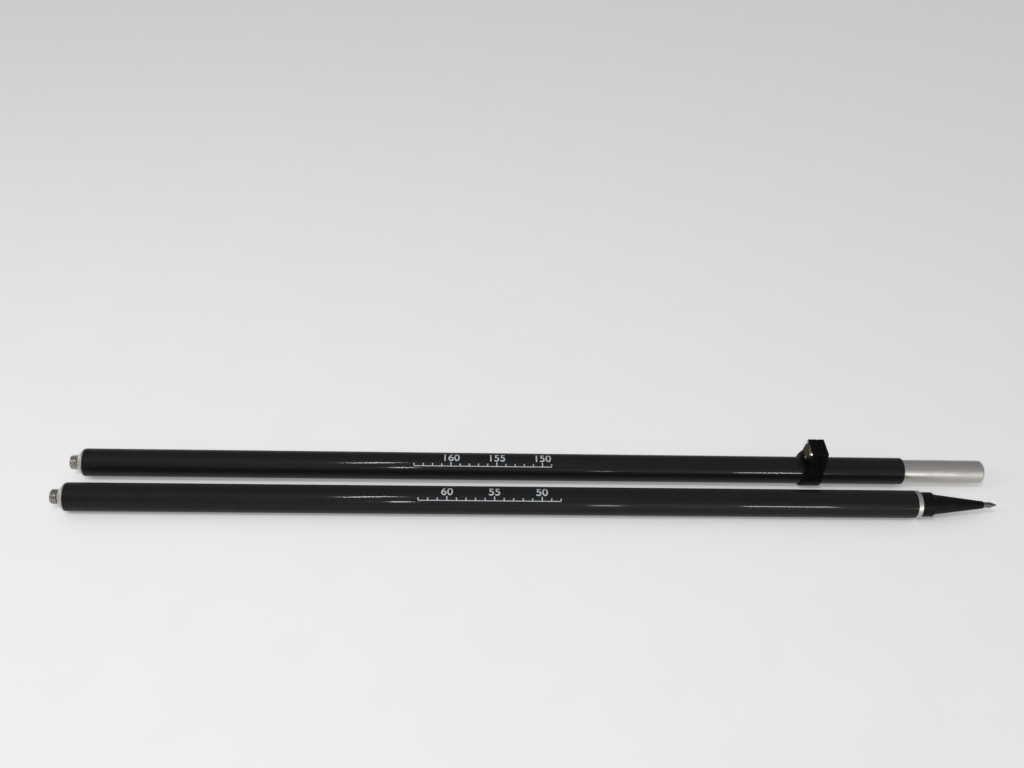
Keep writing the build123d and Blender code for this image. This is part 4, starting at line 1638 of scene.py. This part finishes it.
def height_marks(section, zero_x, first, last):
    """A line, marks and numbers from one centimetre to another, counted from where zero would lie."""
    name, place = section + "_height_marks", SECTIONS[section]
    place_of = {number: zero_x - number * CENTIMETRE for number in range(first, last + 1)}
    line_top = MARK_BOTTOM + LINE_HEIGHT
    grids = [ink_bar(place_of[last], place_of[first], MARK_BOTTOM, line_top, place)]
    meshes = []
    for number, x in place_of.items():
        numbered = number % NUMBER_EVERY == 0
        mark_top = MARK_BOTTOM + (LONG_MARK if numbered else SHORT_MARK)
        grids.append(ink_bar(x - MARK_HALF, x + MARK_HALF, line_top, mark_top, place))
        if numbered:
            meshes.append(ink_number(str(number), x, mark_top + NUMBER_GAP, place))
    shape = bmesh.new()
    for mesh in [mesh_of(name, grids)] + meshes:
        shape.from_mesh(mesh)
        bpy.data.meshes.remove(mesh)
    marks = bpy.data.meshes.new(name)
    shape.to_mesh(marks)
    shape.free()
    weld(marks)
    show(name, marks, pale_ink, section + "_section", None)


height_marks("lower", tip_end, *LOWER_MARKS)
height_marks("upper", sleeve_end + SECTION_LENGTH, *UPPER_MARKS)
print("joined, the pole stands", round(2 * SECTION_LENGTH), "mm tall")

# %% [markdown]
# ## The floor
#
# The sections lie on a plain pale floor. It is one large round sheet at height zero, with a rim that bends
# up as in a photographer's cove, so no horizon shows. A trace of mottling keeps it from being perfectly
# even, and it isn't part of the object. It is pale where it is seen, straight or in a
# mirror, and darker to the light that it throws back, so the shadows stay deep. A faint glow, seen in the
# same two ways, evens it out between its near and its far side.

# %% Finish of the floor
FLOOR_PALE, FLOOR_PALER = (0.955, 0.955, 0.95, 1), (0.975, 0.975, 0.97, 1)
FLOOR_BOUNCE = (0.28, 0.28, 0.277, 1)
FLOOR_GLOW, NO_GLOW = (0.25, 0.25, 0.2485, 1), (0, 0, 0, 1)
FLOOR_ROUGHNESS = (0.85, 0.95)
FLOOR_GLOSS = 0.1
MOTTLE_SCALE, MOTTLE_DETAIL, MOTTLE_NOISE = 14.0, 4.0, (0.3, 0.7)


def floor_finish():
    """Pale matt floor with a trace of mottling."""
    material, tree, shader, here = new_finish("pale_floor")
    mottle = ranged(tree, noise(tree, here["Object"], MOTTLE_SCALE, MOTTLE_DETAIL), *MOTTLE_NOISE)
    path = add(tree, "ShaderNodeLightPath").outputs
    mirrored = sums(tree, "MAXIMUM", path["Is Glossy Ray"], path["Is Transmission Ray"])
    seen = sums(tree, "MAXIMUM", path["Is Camera Ray"], mirrored)
    pale = between(tree, mottle, FLOOR_PALE, FLOOR_PALER)
    connect(tree, shader["Base Color"], between(tree, seen, FLOOR_BOUNCE, pale))
    connect(tree, shader["Emission Color"], between(tree, seen, NO_GLOW, FLOOR_GLOW))
    connect(tree, shader["Roughness"], ranged(tree, mottle, 0.0, 1.0, *FLOOR_ROUGHNESS))
    shader["Emission Strength"].default_value = 1.0
    shader["Specular IOR Level"].default_value = FLOOR_GLOSS
    return material


pale_floor = floor_finish()
print("finish", pale_floor.name)

# %% Floor
FLAT_REACH, FLAT_ROWS = 4.5, 10
COVE_RADIUS, COVE_ROWS = 2.5, 17
FLOOR_DROP = 0.0001


def floor_grid():
    """A flat disc, then a quarter of a circle up: r = reach + cove sin(a) and z = cove (1 - cos(a))."""
    bend = np.linspace(0, math.pi / 2, COVE_ROWS)[1:]
    away = np.concatenate([np.linspace(0, FLAT_REACH, FLAT_ROWS), FLAT_REACH + COVE_RADIUS * np.sin(bend)])
    height = np.concatenate([np.zeros(FLAT_ROWS), COVE_RADIUS * (1 - np.cos(bend))]) - FLOOR_DROP
    angle = column_angles(TURNED_COLUMNS)
    tall = per_column(height, TURNED_COLUMNS)
    return patch(np.stack([np.outer(away, np.cos(angle)), np.outer(away, np.sin(angle)), tall], -1))


floor_mesh = mesh_of("floor", [floor_grid()])
floor_mesh.materials.append(pale_floor)
if floor_mesh.polygons[0].normal.z < 0:
    floor_mesh.flip_normals()
floor = in_scene("floor", floor_mesh)

# %% [markdown]
# ## The light
#
# The room is soft: a dome that is brighter overhead and dim towards the horizon lights everything evenly.
# The clear coat mirrors four small lamps on the camera's side, and these make the broken streaks along the
# tubes. A lamp's place was found by reflecting the camera's view of a streak off the tube. A fifth stands
# past the studs, where no tube mirrors it, and puts a glint on the shoulders. A broad softbox on the left
# lies past the tubes' ends for the coat's mirror, so that only the fibres catch it, and two small lamps
# far to the right draw the streaks on the sleeve. The low lamps would leave bright pools on the floor, so
# they are linked to a collection that excludes it.

# %% Dome
DOME_HORIZON = (0.17, 0.17, 0.1725, 1)
DOME_ZENITH = (0.43, 0.4325, 0.4385, 1)

dome = bpy.data.worlds.new("dome")
dome.use_nodes = True
sky = dome.node_tree
sky.nodes.clear()
up = add(sky, "ShaderNodeSeparateXYZ", {0: add(sky, "ShaderNodeTexCoord").outputs["Generated"]}).outputs[2]
sky_colour = between(sky, ranged(sky, up, 0.0, 1.0), DOME_HORIZON, DOME_ZENITH)
background = add(sky, "ShaderNodeBackground", {"Color": sky_colour, "Strength": 1.0})
add(sky, "ShaderNodeOutputWorld", {"Surface": background.outputs[0]})
scene.world = dome
print("dome from", DOME_HORIZON[:3], "to", DOME_ZENITH[:3])

# %% Lamps
# Each lamp has its place, its width and height, and its brightness.
LAMP_AIM = np.array((0.1, 0.0, 0.02))
FLOOR_LAMPS = ("high_lamp", "left_softbox")
LAMPS = {
    "high_lamp": ((-0.36, -0.94, 1.79), 0.085, 0.38, 84.0),
    "middle_lamp": ((-0.265, -1.815, 0.88), 0.065, 0.28, 78.0),
    "low_lamp": ((0.375, -1.99, 0.30), 0.08, 0.34, 36.0),
    "side_lamp": ((0.92, -1.86, 0.42), 0.26, 0.20, 66.0),
    "end_lamp": ((-2.20, 0.75, 0.40), 0.50, 0.40, 9.0),
    "left_softbox": ((-1.70, -0.65, 1.43), 0.60, 0.60, 5.0),
    "sleeve_lamp": ((1.385, -1.96, 0.19), 0.07, 0.10, 40.0),
    "sleeve_end_lamp": ((1.513, -1.915, 0.235), 0.05, 0.08, 40.0),
}


def lamp(name, place, width, height, brightness):
    """A small softbox that faces the tubes. Its power is brightness times area times pi."""
    light = bpy.data.lights.new(name, "AREA")
    light.shape = "RECTANGLE"
    light.size, light.size_y = width, height
    light.energy = brightness * width * height * math.pi
    facing = Matrix.Identity(3)
    back = unit(np.array(place) - LAMP_AIM)
    side = unit(np.cross((0, 0, 1), back))
    facing.col[0], facing.col[1], facing.col[2] = side, np.cross(back, side), back
    made = in_scene(name, light)
    made.matrix_world = Matrix.Translation(place) @ facing.to_4x4()
    if name not in FLOOR_LAMPS:
        made.light_linking.receiver_collection = passed_by


passed_by = bpy.data.collections.new("passed_by_low_lamps")
passed_by.objects.link(floor)
passed_by.collection_objects[0].light_linking.link_state = "EXCLUDE"
for name, values in LAMPS.items():
    lamp(name, *values)
print(len(LAMPS), "lamps")
